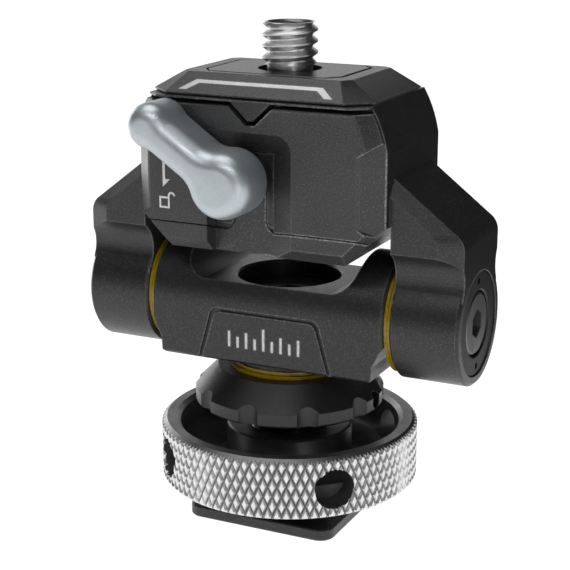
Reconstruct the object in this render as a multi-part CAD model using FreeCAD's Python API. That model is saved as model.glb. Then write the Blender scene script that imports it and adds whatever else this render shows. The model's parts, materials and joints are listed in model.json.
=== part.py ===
import FreeCAD, Part
import math
import os

# Swivel and tilt mount with a quick-release plate on top and an accessory-shoe foot below.
# Millimetres. The origin is the centre of the foot's underside, on the vertical swivel axis.
# +Z is up, X runs along the tilt axis, and the release lever is on the -Y side.

V = FreeCAD.Vector
OUT = "parts"

# Fits
RUNNING = 0.05          # radial clearance of a shaft that turns in its bore
LOOSE = 0.1             # radial clearance of a washer on its shaft
TOUCH = 0.01            # gap between faces that rest on each other
SAME = 0.01             # how close an edge has to be to count as lying on a plane

# Shoe foot, stem and clamping wheel
FOOT_SIZE = 18.5
FOOT_THICK = 1.4
FOOT_CORNER = 1.8
FOOT_BREAK = 0.15
STEM_R = 5.0
STEM_FLAT_Y = 4.4
STEM_FLAT_Z1 = 9.0
SPIGOT_R = 3.4
SPIGOT_Z1 = 6.0
WHEEL_R = 15.3
WHEEL_Z0 = 4.3
WHEEL_KNURL_Z1 = 10.9
WHEEL_Z1 = 11.4
WHEEL_RIM_R = 14.7
WHEEL_BREAK = 0.3
CUP_R = 13.1
CUP_LEAD_IN = 0.5
CUP_FLOOR_Z = 6.75
CUP_FILLET = 1.4
HUB_R = 7.5
HUB_Z1 = 10.65
HUB_BREAK = 0.2
TOMMY_HOLES = 4
TOMMY_HOLE_R = 2.35
TOMMY_HOLE_Z = 7.6
TOMMY_HOLE_FLOOR_R = 11.6
SHOE_WASHER_R = 11.0
SHOE_WASHER_Z0 = 4.1
SHOE_WASHER_Z1 = 5.0

# Swivel: collar, friction washers, bush and bolt
COLLAR_R = 11.2
COLLAR_Z0 = 13.55
COLLAR_RIM_Z1 = 15.2
COLLAR_TOP_R = 8.6
COLLAR_Z1 = 17.95
COLLAR_BREAK = 0.25
COLLAR_NOTCHES = 10
NOTCH_R = 1.56
NOTCH_DEPTH = 0.7
COLLAR_SCREW_R = 1.0
COLLAR_SCREW_Z = 14.7
COLLAR_SCREW_X1 = 9.2
WASHER_THICK = 0.36
WASHER_SLIP = 0.04
LOWER_WASHER_R = 7.1
UPPER_WASHER_R = 6.7
PILOT_R = 6.4
PIVOT_R = 4.0
PIVOT_Z1 = 24.0
SWIVEL_BUSH_R = 4.9
SWIVEL_BUSH_Z0 = 18.9
COUNTERBORE_R = 6.07
COUNTERBORE_Z = 23.7
TOP_WASHER_Z0 = 23.74
SWIVEL_SPRING = (2.7, 5.3, 0.22, 0.3)      # inner radius, outer radius, sheet, cone height
SWIVEL_HEAD_R = 5.7
SWIVEL_HEAD_Z0 = 25.2
SWIVEL_HEAD_Z1 = 26.8
SWIVEL_HEX = 3.4
SWIVEL_HEX_DEPTH = 1.2
SWIVEL_THREAD_R = 2.5
SWIVEL_THREAD_Z0 = 13.4

# Head block
TILT_Z = 25.685
BLOCK_X = 14.5
BLOCK_R = 7.1
BLOCK_Z0 = 19.3
BLOCK_FOOT_X = 13.25
BLOCK_TAPER_Z = (21.2, 23.4)
SADDLE_Z = 28.8
SADDLE_X = 8.0
SADDLE_WALL_R = 2.6
PANEL_TOP_Z = 25.65
PANEL_TOP_X = 6.75
PANEL_FOOT_X = 8.75
PANEL_CORNER = 1.1
PANEL_GROOVE = (0.4, 0.3)                  # width, depth
TICK_PITCH = 1.1
TICK_WIDTH = 0.32
TICK_DEPTH = 0.2
TICK_Z0 = 21.2
TICK_HEIGHTS = (2.6, 1.3, 1.9, 1.3, 1.9)   # from the middle tick outwards

# Tilt pivots, one in each arm's boss
BOSS_R = 7.1
BOSS_X0 = 15.3
BOSS_X1 = 23.28
BOSS_STEP_X = 19.6
TILT_SHOULDER_R = 3.0
TILT_THREAD_R = 2.0
TILT_THREAD_X0 = 8.2
TILT_HEAD_R = 3.6
TILT_HEAD_X0 = 21.2
TILT_HEAD_X1 = 23.05
TILT_HEX = 3.0
TILT_HEX_DEPTH = 1.3
TILT_WASHER_R = 6.6
TILT_SPRING = (3.1, 3.65, 0.3, 0.35)       # inner radius, outer radius, sheet, cone height
TILT_RING_R = 6.0
TILT_RING_BORE_R = 3.78
TILT_RING_X0 = 22.3
TILT_RING_X1 = 23.12
SPANNER_HOLE_R = 0.4
SPANNER_HOLE_AT = 4.95

# Clamp housing: outer form
HOUSING_X = 15.1
HOUSING_FRONT = -10.2
HOUSING_BACK = 7.8
HOUSING_Z0 = 32.95
HOUSING_Z1 = 50.4
HOUSING_FOOT_X = 10.75
HOUSING_SIDE_Z = (37.3, 45.4)
HOUSING_TOP_X = 13.25
HOUSING_SHOULDER = (14.4, 48.0)            # middle of the shoulder's arc
FRONT_CHAMFER = 1.6
BACK_CHAMFER = 1.6
CORNER_CHAMFER = 2.35
COVER_BACK = -7.8
LIP_Z = 50.2
LIP_GROOVE = 0.48                          # width of the groove between lip and cover
COVER_TOP_Z = LIP_Z - LIP_GROOVE
SEAM_Z = 36.1
SEAM_RISE = 0.31                           # the covers' seam climbs towards the front
SEAM_GAP = 0.12
ARM_HALF = 7.0
ARM_EDGE_HALF = 5.7

# Clamp housing: recess, pockets and screws
RECESS_LEFT = -5.4
RECESS_RIGHT = 4.95
RECESS_FLOOR_RIGHT = 1.6
RECESS_TOP_Z = 46.95
RECESS_FLOOR_TOP_Z = 44.4
RECESS_FLOOR_Y = HOUSING_FRONT + 2.1
RECESS_CORNER = 1.9
WINDOW_RIGHT = 2.0
WINDOW_TOP_Z = 44.6
TONGUE_HALF = 1.9
TONGUE_FLARE = 1.0
V_TAB = (2.48, 0.37, 48.2)                 # half width at the lip and the bottom, bottom z
CHAMBER = (-9.9, 12.6, -4.9, 3.8)
CHAMBER_Z1 = 47.45
TENON_X = 9.8
TENON_Y = (-6.3, 6.0)
TENON_Z0 = 47.6
MORTISE_GAP = 0.2
BASE_SCREW_SPOTS = [(-7.5, -6.4), (7.5, -6.4), (-7.5, 4.5), (7.5, 4.5)]
BASE_SCREW_R = 0.8
BASE_SCREW_HEAD_R = 1.45
BASE_SCREW_SEAT_Z = 34.5
BASE_SCREW_Z1 = 39.6
COVER_SCREW_SPOTS = [(-8.4, 43.2), (8.4, 43.2)]
COVER_SCREW_R = 0.8
COVER_SCREW_HEAD_R = 1.5
COVER_SCREW_SEAT_Y = -6.05
SCREW_HEX = 1.3
MARK_DEPTH = 0.2

# Release lever and lock
LEVER_X = -1.0
LEVER_Z = 41.9
LEVER_BACK = -11.0
LEVER_FRONT = -16.7
LEVER_BIG_R = 3.65
LEVER_SMALL_R = 2.55
LEVER_LENGTH = 10.4
LEVER_ANGLE = 145.8
LEVER_BAR_HALF = 1.85
LEVER_SCREW_R = 1.03
LEVER_SCREW_Y = -12.4
SHAFT_R = 1.9
SHAFT_Y0 = -14.0
SHAFT_DISC_R = 3.2
SHAFT_DISC_Y = (-4.85, -3.92)
BUSH_FLANGE_R = 2.65
BUSH_SLEEVE_R = 2.35
SPRING_WIRE_R = 0.3
SPRING_COIL_R = 2.82
SPRING_TURNS = 3
SPRING_PITCH = 0.57
SPRING_POCKET_R = 3.35
SPRING_SLOT_R = 1.45
SPRING_SLOT = (-72, 12)
CRANK_R = 2.0
CRANK_PIN_R = 0.9
CRANK_REST_ANGLE = -30.0
CRANK_PIN_Y1 = -2.15
SLIDER_TRAVEL = 2.0
PLATE_LIFT = 1.2
LATCH_Y = (-3.8, 3.6)
LATCH_Z = (42.9, 44.4, 47.3)               # underside of the web, its top, top of the noses
LATCH_POST = (2.4, 3.6)                    # a nose's post, measured from its hook
HOOKS = ((-8.0, 1.5), (6.6, 1.2))          # face and stem thickness of each hook
HOOK_Z = 46.9
HOOK_Z0 = 44.6
HOOK_LENGTH = 1.9
HOOK_SLOPE = PLATE_LIFT / SLIDER_TRAVEL
HOOK_GAP = 0.03

# Release plate, camera screw and ejectors
# A plan outline is half width, half width at the cut corners, front, front cut, back, back cut.
PLATE_LOW = (13.4, 10.7, -9.6, -7.2, 7.8, 6.2)
PLATE_TOP = (10.1, 9.2, -6.95, -5.8, 5.9, 5.2)
PLATE_Z0 = 50.45
PLATE_EDGE_Z1 = 50.75
PLATE_Z1 = 52.75
PAD_OUTLINE = (8.2, 6.9, -5.85, -4.2, 5.3, 3.9)
PAD_POCKET = (8.5, 7.1, -6.15, -4.3, 5.6, 4.0)
PAD_Z0 = 52.1
PAD_Z1 = 52.79
PAD_HOLE_R = 3.65
INLAY_DEPTH = 0.15
INLAY_BEND = (7.62, 7.1)                   # outer and inner half width at the bends
INLAY_TIP = (9.28, 8.32)                   # outer and inner half width at the ends
INLAY_UP = (0.52, 1.61, 2.14)              # height up the bevel: ends, lower edge, upper edge
SCREW_R = 3.175
SCREW_JOURNAL_R = 3.4
SCREW_JOURNAL_Z1 = 52.0
SCREW_NECK_R = 2.45
SCREW_THREAD_Z0 = 53.0
SCREW_Z1 = 57.98
SCREW_HEAD_R = 5.0
SCREW_HEAD_Z = (48.1, 49.2)
SCREW_BORE_GAP = 0.07
RING_GROOVE_Z = (47.78, 48.04)
EJECTOR_SPOTS = [(-11.3, -6.4), (11.3, -6.4), (-11.3, 6.0), (11.3, 6.0)]
EJECTOR_R = 1.0
EJECTOR_Z0 = 46.8
EJECTOR_HOLE_Z0 = 43.4


# Shape helpers --------------------------------------------------------------------------------

def cyl(radius, start, end):
    """A cylinder from point start to point end."""
    axis = V(*end) - V(*start)
    return Part.makeCylinder(radius, axis.Length, V(*start), axis)


def cyl_z(radius, z0, z1, x=0.0, y=0.0):
    return cyl(radius, (x, y, z0), (x, y, z1))


def cyl_y(radius, y0, y1, x=LEVER_X, z=LEVER_Z):
    return cyl(radius, (x, y0, z), (x, y1, z))


def ring_z(outer, inner, z0, z1):
    """A flat ring about the swivel axis."""
    return cyl_z(outer, z0, z1).cut(cyl_z(inner, z0, z1))


def block(x0, x1, y0, y1, z0, z1):
    return Part.makeBox(x1 - x0, y1 - y0, z1 - z0, V(x0, y0, z0))


def is_arc(step):
    return isinstance(step[0], tuple)


def outline(steps, place):
    """A closed wire. Each step is a point, or a pair (point on the arc, end of the arc)."""
    start = steps[0]
    here = start
    edges = []
    for step in list(steps[1:]) + [start]:
        if step == here:
            continue
        if is_arc(step):
            middle, end = step
            edges.append(Part.Arc(place(*here), place(*middle), place(*end)).toShape())
        else:
            end = step
            edges.append(Part.LineSegment(place(*here), place(*end)).toShape())
        here = end
    return Part.Wire(edges)


def prism_xz(steps, y0, y1):
    wire = outline(steps, lambda x, z: V(x, y0, z))
    return Part.Face(wire).extrude(V(0, y1 - y0, 0))


def prism_yz(steps, x0, x1):
    wire = outline(steps, lambda y, z: V(x0, y, z))
    return Part.Face(wire).extrude(V(x1 - x0, 0, 0))


def prism_xy(steps, z0, z1):
    wire = outline(steps, lambda x, y: V(x, y, z0))
    return Part.Face(wire).extrude(V(0, 0, z1 - z0))


def turned_z(profile):
    """A body of revolution about the swivel axis, from (radius, z) points."""
    face = Part.Face(outline(profile, lambda r, z: V(r, 0, z)))
    return face.revolve(V(0, 0, 0), V(0, 0, 1), 360)


def turned_x(profile):
    """A body of revolution about the tilt axis, from (x, radius) points."""
    face = Part.Face(outline(profile, lambda x, r: V(x, 0, TILT_Z + r)))
    return face.revolve(V(0, 0, TILT_Z), V(1, 0, 0), 360)


def ruled(front, back, y_front, y_back):
    """A solid with straight walls between two outlines in the planes y_front and y_back."""
    front_wire = outline(front, lambda x, z: V(x, y_front, z))
    back_wire = outline(back, lambda x, z: V(x, y_back, z))
    return Part.makeLoft([front_wire, back_wire], True, True)


def mirrored(half):
    """The whole outline from its right half, whose steps run from the bottom to the top."""
    points = [half[0]] + [step[1] if is_arc(step) else step for step in half[1:]]
    left = [(-points[-1][0], points[-1][1])]
    for before, step in reversed(list(zip(points, half[1:]))):
        point = (-before[0], before[1])
        left.append(((-step[0][0], step[0][1]), point) if is_arc(step) else point)
    return half + left


def flip_x(shape):
    return shape.mirror(V(0, 0, 0), V(1, 0, 0))


def on_side(shape, side):
    """A right-hand shape as it is for side 1, or mirrored for side -1."""
    return shape if side > 0 else flip_x(shape)


def turned_about_z(shape, degrees):
    copy = shape.copy()
    copy.rotate(V(0, 0, 0), V(0, 0, 1), degrees)
    return copy


def near(value, target):
    return abs(value - target) < SAME


def edges_where(shape, keep):
    """The shape's edges that pass a test on their middle point and the edge itself."""
    chosen = []
    for edge in shape.Edges:
        middle = edge.valueAt((edge.FirstParameter + edge.LastParameter) / 2)
        if keep(middle, edge):
            chosen.append(edge)
    return chosen


def chamfered(shape, size, keep):
    return shape.makeChamfer(size, edges_where(shape, keep))


def rounded(shape, radius, keep):
    return shape.makeFillet(radius, edges_where(shape, keep))


def hex_socket(across_flats, start, end):
    """A six-sided cutter between two points on one axis."""
    axis = V(*end) - V(*start)
    corner = across_flats / math.sqrt(3)
    turns = [k * math.pi / 3 for k in range(7)]
    points = [V(corner * math.cos(a), corner * math.sin(a), 0) for a in turns]
    tool = Part.Face(Part.makePolygon(points)).extrude(V(0, 0, axis.Length))
    tool.Placement = FreeCAD.Placement(V(*start), FreeCAD.Rotation(V(0, 0, 1), axis))
    return tool


def coil(mean_r, wire_r, length, turns):
    """A helical spring along Z from z = 0, its ends a wire radius inside the length."""
    pitch = (length - 2 * wire_r) / turns
    helix = Part.makeHelix(pitch, length - 2 * wire_r, mean_r)
    helix.translate(V(0, 0, wire_r))
    section = Part.Wire(Part.makeCircle(wire_r, V(mean_r, 0, wire_r), V(0, 1, 0)))
    return Part.Wire(helix.Edges).makePipeShell([section], True, True)


def cone_washer_pair(turned, start, inner, outer, sheet, cone):
    """Two conical spring washers back to back, turned about an axis from the place start."""
    peak = start + cone
    middle = peak + sheet + TOUCH
    first = [(peak, inner), (start, outer), (start + sheet, outer), (peak + sheet, inner)]
    rim = middle + cone
    second = [(middle, inner), (rim, outer), (rim + sheet, outer), (middle + sheet, inner)]
    return Part.makeCompound([turned(first), turned(second)])


def plan_outline(x, cut_x, front, front_cut, back, back_cut):
    """An eight-sided outline in plan: straight sides with cut corners."""
    return [
        (-cut_x, front), (cut_x, front), (x, front_cut), (x, back_cut),
        (cut_x, back), (-cut_x, back), (-x, back_cut), (-x, front_cut),
    ]


def save(node, shape):
    shape = shape.removeSplitter() if shape.ShapeType == "Solid" else shape
    shape.exportStep(os.path.join(OUT, node + ".step"))
    print(f"{node:24s} solids {len(shape.Solids)} valid {shape.isValid()} volume {shape.Volume:9.2f}")


# Foot, stem and thumbwheel -----------------------------------------------------------------------

def shoe_foot():
    """The square foot that slides into a shoe, with the spigot that the stem is pressed on."""
    half = FOOT_SIZE / 2
    plate = block(-half, half, -half, half, 0, FOOT_THICK)
    plate = rounded(plate, FOOT_CORNER, lambda p, e: near(abs(p.x), half) and near(abs(p.y), half))
    plate = chamfered(plate, FOOT_BREAK, lambda p, e: near(p.z, 0) or near(p.z, FOOT_THICK))
    return plate.fuse(cyl_z(SPIGOT_R, FOOT_THICK / 2, SPIGOT_Z1))


def threaded_stem():
    """The wheel's thread, a plain cylinder at its crest radius, with the swivel pivot on top."""
    stem = cyl_z(STEM_R, FOOT_THICK, COLLAR_Z1).fuse(cyl_z(PIVOT_R, COLLAR_Z1, PIVOT_Z1))
    past = STEM_R + 1
    keyed = block(-past, past, -STEM_FLAT_Y, STEM_FLAT_Y, 0, STEM_FLAT_Z1)
    whole = block(-past, past, -past, past, STEM_FLAT_Z1, PIVOT_Z1)
    stem = stem.common(keyed.fuse(whole))
    stem = stem.cut(cyl_z(SPIGOT_R, 0, SPIGOT_Z1))
    return stem.cut(cyl_z(SWIVEL_THREAD_R, SWIVEL_THREAD_Z0 - 0.4, PIVOT_Z1))


def tommy_holes():
    """The radial holes in the wheel's rim, for a bar or a key."""
    holes = []
    for k in range(TOMMY_HOLES):
        hole = cyl(TOMMY_HOLE_R, (TOMMY_HOLE_FLOOR_R, 0, TOMMY_HOLE_Z), (WHEEL_R + 1, 0, TOMMY_HOLE_Z))
        holes.append(turned_about_z(hole, 360 * (k + 0.5) / TOMMY_HOLES))
    return holes


def thumbwheel():
    """A cup-shaped wheel with a threaded hub. Its underside holds the shoe washer."""
    bore = STEM_R + RUNNING
    seat_r = SHOE_WASHER_R + 3 * RUNNING
    seat_z = SHOE_WASHER_Z1 + 2 * TOUCH
    corner = CUP_FILLET * (1 - math.sqrt(0.5))
    profile = [
        (bore, seat_z), (seat_r, seat_z), (seat_r, WHEEL_Z0),
        (WHEEL_R - WHEEL_BREAK, WHEEL_Z0), (WHEEL_R, WHEEL_Z0 + WHEEL_BREAK), (WHEEL_R, WHEEL_KNURL_Z1),
        (WHEEL_RIM_R, WHEEL_Z1), (CUP_R + CUP_LEAD_IN, WHEEL_Z1), (CUP_R, WHEEL_Z1 - CUP_LEAD_IN),
        (CUP_R, CUP_FLOOR_Z + CUP_FILLET),
        ((CUP_R - corner, CUP_FLOOR_Z + corner), (CUP_R - CUP_FILLET, CUP_FLOOR_Z)),
        (HUB_R, CUP_FLOOR_Z), (HUB_R, HUB_Z1 - HUB_BREAK), (HUB_R - HUB_BREAK, HUB_Z1), (bore, HUB_Z1),
    ]
    wheel = turned_z(profile)
    for hole in tommy_holes():
        wheel = wheel.cut(hole)
    return wheel


def shoe_washer():
    """The ring that presses on the shoe's rails. Two flats key it to the stem, so it doesn't turn."""
    key = 0.06
    flat = STEM_FLAT_Y + key
    bore = cyl_z(STEM_R + key, SHOE_WASHER_Z0, SHOE_WASHER_Z1)
    bore = bore.common(block(-STEM_R - 1, STEM_R + 1, -flat, flat, SHOE_WASHER_Z0, SHOE_WASHER_Z1))
    ring = cyl_z(SHOE_WASHER_R, SHOE_WASHER_Z0, SHOE_WASHER_Z1)
    ring = chamfered(ring, FOOT_BREAK, lambda p, e: near(p.z, SHOE_WASHER_Z0))
    return ring.cut(bore)


# Swivel ------------------------------------------------------------------------------------------

def notched_collar():
    """The conical collar on the stem, with scalloped notches for a hook spanner."""
    lip = COLLAR_BREAK / 2
    profile = [
        (STEM_R, COLLAR_Z0), (COLLAR_R - COLLAR_BREAK, COLLAR_Z0), (COLLAR_R, COLLAR_Z0 + COLLAR_BREAK),
        (COLLAR_R, COLLAR_RIM_Z1), (COLLAR_TOP_R, COLLAR_Z1 - lip), (COLLAR_TOP_R - lip, COLLAR_Z1),
        (STEM_R, COLLAR_Z1),
    ]
    collar = turned_z(profile)
    centre = COLLAR_R - NOTCH_DEPTH + NOTCH_R
    notch = cyl_z(NOTCH_R, COLLAR_Z0 - 1, COLLAR_Z1 + 1, 0, -centre)
    for k in range(COLLAR_NOTCHES):
        collar = collar.cut(turned_about_z(notch, 360 * k / COLLAR_NOTCHES))
    for side in (-1, 1):
        start = (side * (STEM_R - 1), 0, COLLAR_SCREW_Z)
        collar = collar.cut(cyl(COLLAR_SCREW_R, start, (side * (COLLAR_R + 1), 0, COLLAR_SCREW_Z)))
    return collar


def collar_set_screws():
    """Two headless screws that lock the collar on the stem."""
    hex_size, hex_depth = 0.9, 1.4
    tip = COLLAR_SCREW_X1
    body = cyl(COLLAR_SCREW_R - 2 * TOUCH, (STEM_R, 0, COLLAR_SCREW_Z), (tip, 0, COLLAR_SCREW_Z))
    socket = hex_socket(hex_size, (tip - hex_depth, 0, COLLAR_SCREW_Z), (tip + 1, 0, COLLAR_SCREW_Z))
    screw = body.cut(socket)
    return Part.makeCompound([on_side(screw, side) for side in (-1, 1)])


def swivel_washer_lower():
    z0 = COLLAR_Z1 + TOUCH
    return ring_z(LOWER_WASHER_R, PIVOT_R + LOOSE, z0, z0 + WASHER_THICK)


def swivel_washer_upper():
    z0 = COLLAR_Z1 + TOUCH + WASHER_THICK + WASHER_SLIP
    return ring_z(UPPER_WASHER_R, PIVOT_R + LOOSE, z0, z0 + WASHER_THICK)


def swivel_bush():
    """A plain bronze bush in the head block, turning on the stem's pivot."""
    return ring_z(SWIVEL_BUSH_R, PIVOT_R + RUNNING, SWIVEL_BUSH_Z0, COUNTERBORE_Z - LOOSE)


def swivel_top_washer():
    return ring_z(SWIVEL_HEAD_R, PIVOT_R + LOOSE, TOP_WASHER_Z0, TOP_WASHER_Z0 + WASHER_THICK)


def swivel_disc_spring():
    """Two conical spring washers, set back to back under the bolt head."""
    start = TOP_WASHER_Z0 + WASHER_THICK + 2 * TOUCH
    return cone_washer_pair(lambda ends: turned_z([(r, z) for z, r in ends]), start, *SWIVEL_SPRING)


def swivel_bolt():
    """The bolt down the swivel axis. It holds the head on the stem and sets the friction."""
    lip = 0.2
    head = turned_z([
        (0, SWIVEL_HEAD_Z0), (SWIVEL_HEAD_R, SWIVEL_HEAD_Z0), (SWIVEL_HEAD_R, SWIVEL_HEAD_Z1 - lip),
        (SWIVEL_HEAD_R - lip, SWIVEL_HEAD_Z1), (0, SWIVEL_HEAD_Z1),
    ])
    shank = cyl_z(SWIVEL_THREAD_R, SWIVEL_THREAD_Z0, SWIVEL_HEAD_Z0 + lip)
    socket = hex_socket(SWIVEL_HEX, (0, 0, SWIVEL_HEAD_Z1 - SWIVEL_HEX_DEPTH), (0, 0, SWIVEL_HEAD_Z1 + 1))
    return head.fuse(shank).cut(socket)


# Head block and tilt pivots ------------------------------------------------------------------------

def panel_outline(grow):
    """The trapezoid with rounded top corners on the block's front face."""
    top = PANEL_TOP_Z + grow
    corner_x = PANEL_TOP_X + grow
    lean = 0.25
    arc_end = (corner_x + lean, top - PANEL_CORNER)
    arc_middle = (corner_x - 0.15, top - 0.28)
    half = [
        (PANEL_FOOT_X + grow, BLOCK_Z0 - 1.0), arc_end, (arc_middle, (corner_x - PANEL_CORNER, top)),
    ]
    return mirrored(half)


def tick_marks(depth_in, depth_out):
    """A plain index scale: a row of short upright ticks with a longer one in the middle."""
    ticks = []
    reach = len(TICK_HEIGHTS) - 1
    for k in range(-reach, reach + 1):
        x0 = k * TICK_PITCH - TICK_WIDTH / 2
        top = TICK_Z0 + TICK_HEIGHTS[abs(k)]
        ticks.append(block(x0, x0 + TICK_WIDTH, -BLOCK_R - depth_out, -BLOCK_R + depth_in, TICK_Z0, top))
    return Part.makeCompound(ticks)


def saddle_cut():
    """The hollow across the block's top, whose ends sweep up into the two cheeks."""
    wall = (SADDLE_X + SADDLE_WALL_R, SADDLE_Z + SADDLE_WALL_R)
    middle = (SADDLE_X + 1.75, SADDLE_Z + 0.85)
    above = SADDLE_Z + 2 * SADDLE_WALL_R
    half = [(SADDLE_X, SADDLE_Z), (middle, wall), (wall[0] + 0.4, above)]
    return prism_xz(mirrored(half), -BLOCK_R - 1, BLOCK_R + 1)


def head_block():
    """The D-shaped block that swivels on the stem and carries both tilt pivots."""
    side = [
        (-BLOCK_R, BLOCK_Z0), (-BLOCK_R, TILT_Z), ((0, TILT_Z + BLOCK_R), (BLOCK_R, TILT_Z)),
        (BLOCK_R, BLOCK_Z0),
    ]
    body = prism_yz(side, -BLOCK_X, BLOCK_X)
    low, high = BLOCK_TAPER_Z
    front = mirrored([(BLOCK_FOOT_X, BLOCK_Z0 - 1), (BLOCK_FOOT_X + 0.15, low), (BLOCK_X, high),
                      (BLOCK_X, TILT_Z + BLOCK_R + 1)])
    body = body.common(prism_xz(front, -BLOCK_R - 1, BLOCK_R + 1))
    body = chamfered(body, 0.3, lambda p, e: near(p.z, BLOCK_Z0))
    body = chamfered(body, 0.25, lambda p, e: near(abs(p.x), BLOCK_X) and p.z > high + 0.1 and e.Length > 1.0)
    body = body.cut(saddle_cut())
    body = body.fuse(cyl_z(PILOT_R, COLLAR_Z1 + 2 * WASHER_THICK + RUNNING, BLOCK_Z0 + 1))
    body = body.cut(cyl_z(COUNTERBORE_R, COUNTERBORE_Z, TILT_Z + BLOCK_R))
    body = body.cut(cyl_z(SWIVEL_BUSH_R, SWIVEL_BUSH_Z0, COUNTERBORE_Z))
    body = body.cut(cyl_z(PIVOT_R + LOOSE, COLLAR_Z1, SWIVEL_BUSH_Z0))
    body = chamfered(body, 0.2, lambda p, e: near(p.z, SADDLE_Z) and e.Length > 30)
    thread = cyl(TILT_THREAD_R, (TILT_THREAD_X0 - 0.2, 0, TILT_Z), (BLOCK_X + 1, 0, TILT_Z))
    body = body.cut(thread).cut(flip_x(thread))
    width, depth = PANEL_GROOVE
    groove = prism_xz(panel_outline(0.0), -BLOCK_R - 1, -BLOCK_R + depth)
    body = body.cut(groove.cut(prism_xz(panel_outline(-width), -BLOCK_R - 2, -BLOCK_R + 1)))
    return body.cut(tick_marks(TICK_DEPTH, 1.0))


def index_marks():
    return tick_marks(TICK_DEPTH, -2 * TOUCH)


def tilt_bolt(side):
    """A shoulder screw: the boss turns on its shoulder, and its thread is fixed in the head block."""
    lip = 0.25
    seat = BLOCK_X + TOUCH
    profile = [
        (TILT_THREAD_X0, 0), (TILT_THREAD_X0, TILT_THREAD_R), (seat, TILT_THREAD_R), (seat, TILT_SHOULDER_R),
        (TILT_HEAD_X0, TILT_SHOULDER_R), (TILT_HEAD_X0, TILT_HEAD_R), (TILT_HEAD_X1 - lip, TILT_HEAD_R),
        (TILT_HEAD_X1, TILT_HEAD_R - lip), (TILT_HEAD_X1, 0),
    ]
    socket = hex_socket(TILT_HEX, (TILT_HEAD_X1 - TILT_HEX_DEPTH, 0, TILT_Z), (TILT_HEAD_X1 + 1, 0, TILT_Z))
    return on_side(turned_x(profile).cut(socket), side)


def thrust_washer(x0):
    """A friction washer on the tilt axis, from x0 outwards."""
    x1 = x0 + WASHER_THICK
    inner = TILT_SHOULDER_R + LOOSE
    return turned_x([(x0, inner), (x1, inner), (x1, TILT_WASHER_R), (x0, TILT_WASHER_R)])


def tilt_washer_inner(side):
    return on_side(thrust_washer(BLOCK_X + 2 * TOUCH), side)


def tilt_washer_outer(side):
    return on_side(thrust_washer(BOSS_X0 - TOUCH - WASHER_THICK), side)


def tilt_disc_spring(side):
    """Two conical spring washers between the boss and the shoulder screw's head."""
    return on_side(cone_washer_pair(turned_x, BOSS_STEP_X + 2 * TOUCH, *TILT_SPRING), side)


def tilt_ring(side):
    """The black dress ring round the screw head, with two small spanner holes."""
    x0, x1 = TILT_RING_X0, TILT_RING_X1
    lip = 0.15
    ring = turned_x([
        (x0, TILT_RING_BORE_R), (x1 - lip, TILT_RING_BORE_R), (x1, TILT_RING_BORE_R + lip),
        (x1, TILT_RING_R - lip), (x1 - lip, TILT_RING_R), (x0, TILT_RING_R),
    ])
    for up in (-1, 1):
        z = TILT_Z + up * SPANNER_HOLE_AT
        ring = ring.cut(cyl(SPANNER_HOLE_R, (x0 + 0.3, 0, z), (x1 + 1, 0, z)))
    return on_side(ring, side)


# Clamp housing --------------------------------------------------------------------------------------

def housing_form():
    """The outer form of the clamp housing, before it is split into body, front cover and base cover."""
    low, high = HOUSING_SIDE_Z
    full = mirrored([
        (HOUSING_FOOT_X, HOUSING_Z0), (HOUSING_X, low), (HOUSING_X, high),
        (HOUSING_SHOULDER, (HOUSING_TOP_X, HOUSING_Z1)),
    ])
    face_x = HOUSING_X - FRONT_CHAMFER
    inset = mirrored([
        (HOUSING_FOOT_X + 0.25, HOUSING_Z0 + 1.45), (face_x, low - 0.4), (face_x, high - 0.2),
        ((HOUSING_SHOULDER[0] - FRONT_CHAMFER, HOUSING_SHOULDER[1] - 0.1), (HOUSING_TOP_X - 1.7, HOUSING_Z1)),
    ])
    step = HOUSING_FRONT + FRONT_CHAMFER
    form = prism_xz(full, step, HOUSING_BACK).fuse(ruled(inset, full, HOUSING_FRONT, step))
    form = form.cut(back_chamfer_cut())
    for side in (-1, 1):
        form = form.cut(on_side(corner_chamfer_cut(), side))
    return form.removeSplitter()


def back_chamfer_cut():
    """The wedge off the lower back edge, which keeps the housing clear of the collar when tilted back."""
    y, z, size = HOUSING_BACK, HOUSING_Z0, BACK_CHAMFER
    return prism_yz([(y - size, z), (y + 1, z - 1), (y + 1, z + size + 1), (y, z + size)], -20, 20)


def corner_chamfer_cut():
    """The deep chamfer between the right side and the front, which fades out above and below."""
    front_x = HOUSING_X - CORNER_CHAMFER
    side_y = HOUSING_FRONT + CORNER_CHAMFER
    out_x, out_y = HOUSING_X + 3, HOUSING_FRONT - 2
    plan = [(front_x, HOUSING_FRONT), (HOUSING_X, side_y), (out_x, side_y), (out_x, out_y), (front_x, out_y)]
    facet = [(12.3, 37.7), (16.0, 35.6), (16.0, 47.4), (12.3, 45.0)]
    return prism_xy(plan, HOUSING_Z0, HOUSING_Z1).common(prism_xz(facet, out_y, side_y + 3))


def below_seam(gap):
    """The space under the seam. The seam is level in the body, and climbs towards the front in the covers."""
    back_z = SEAM_Z - SEAM_RISE * (COVER_BACK - HOUSING_FRONT) + gap
    front_y = HOUSING_FRONT - 2
    front_z = SEAM_Z + SEAM_RISE * 2 + gap
    floor_z = HOUSING_Z0 - 1
    seam = [(front_y, floor_z), (front_y, front_z), (COVER_BACK, back_z), (COVER_BACK, floor_z)]
    return prism_yz(seam, -HOUSING_X - 1, HOUSING_X + 1)


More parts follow.
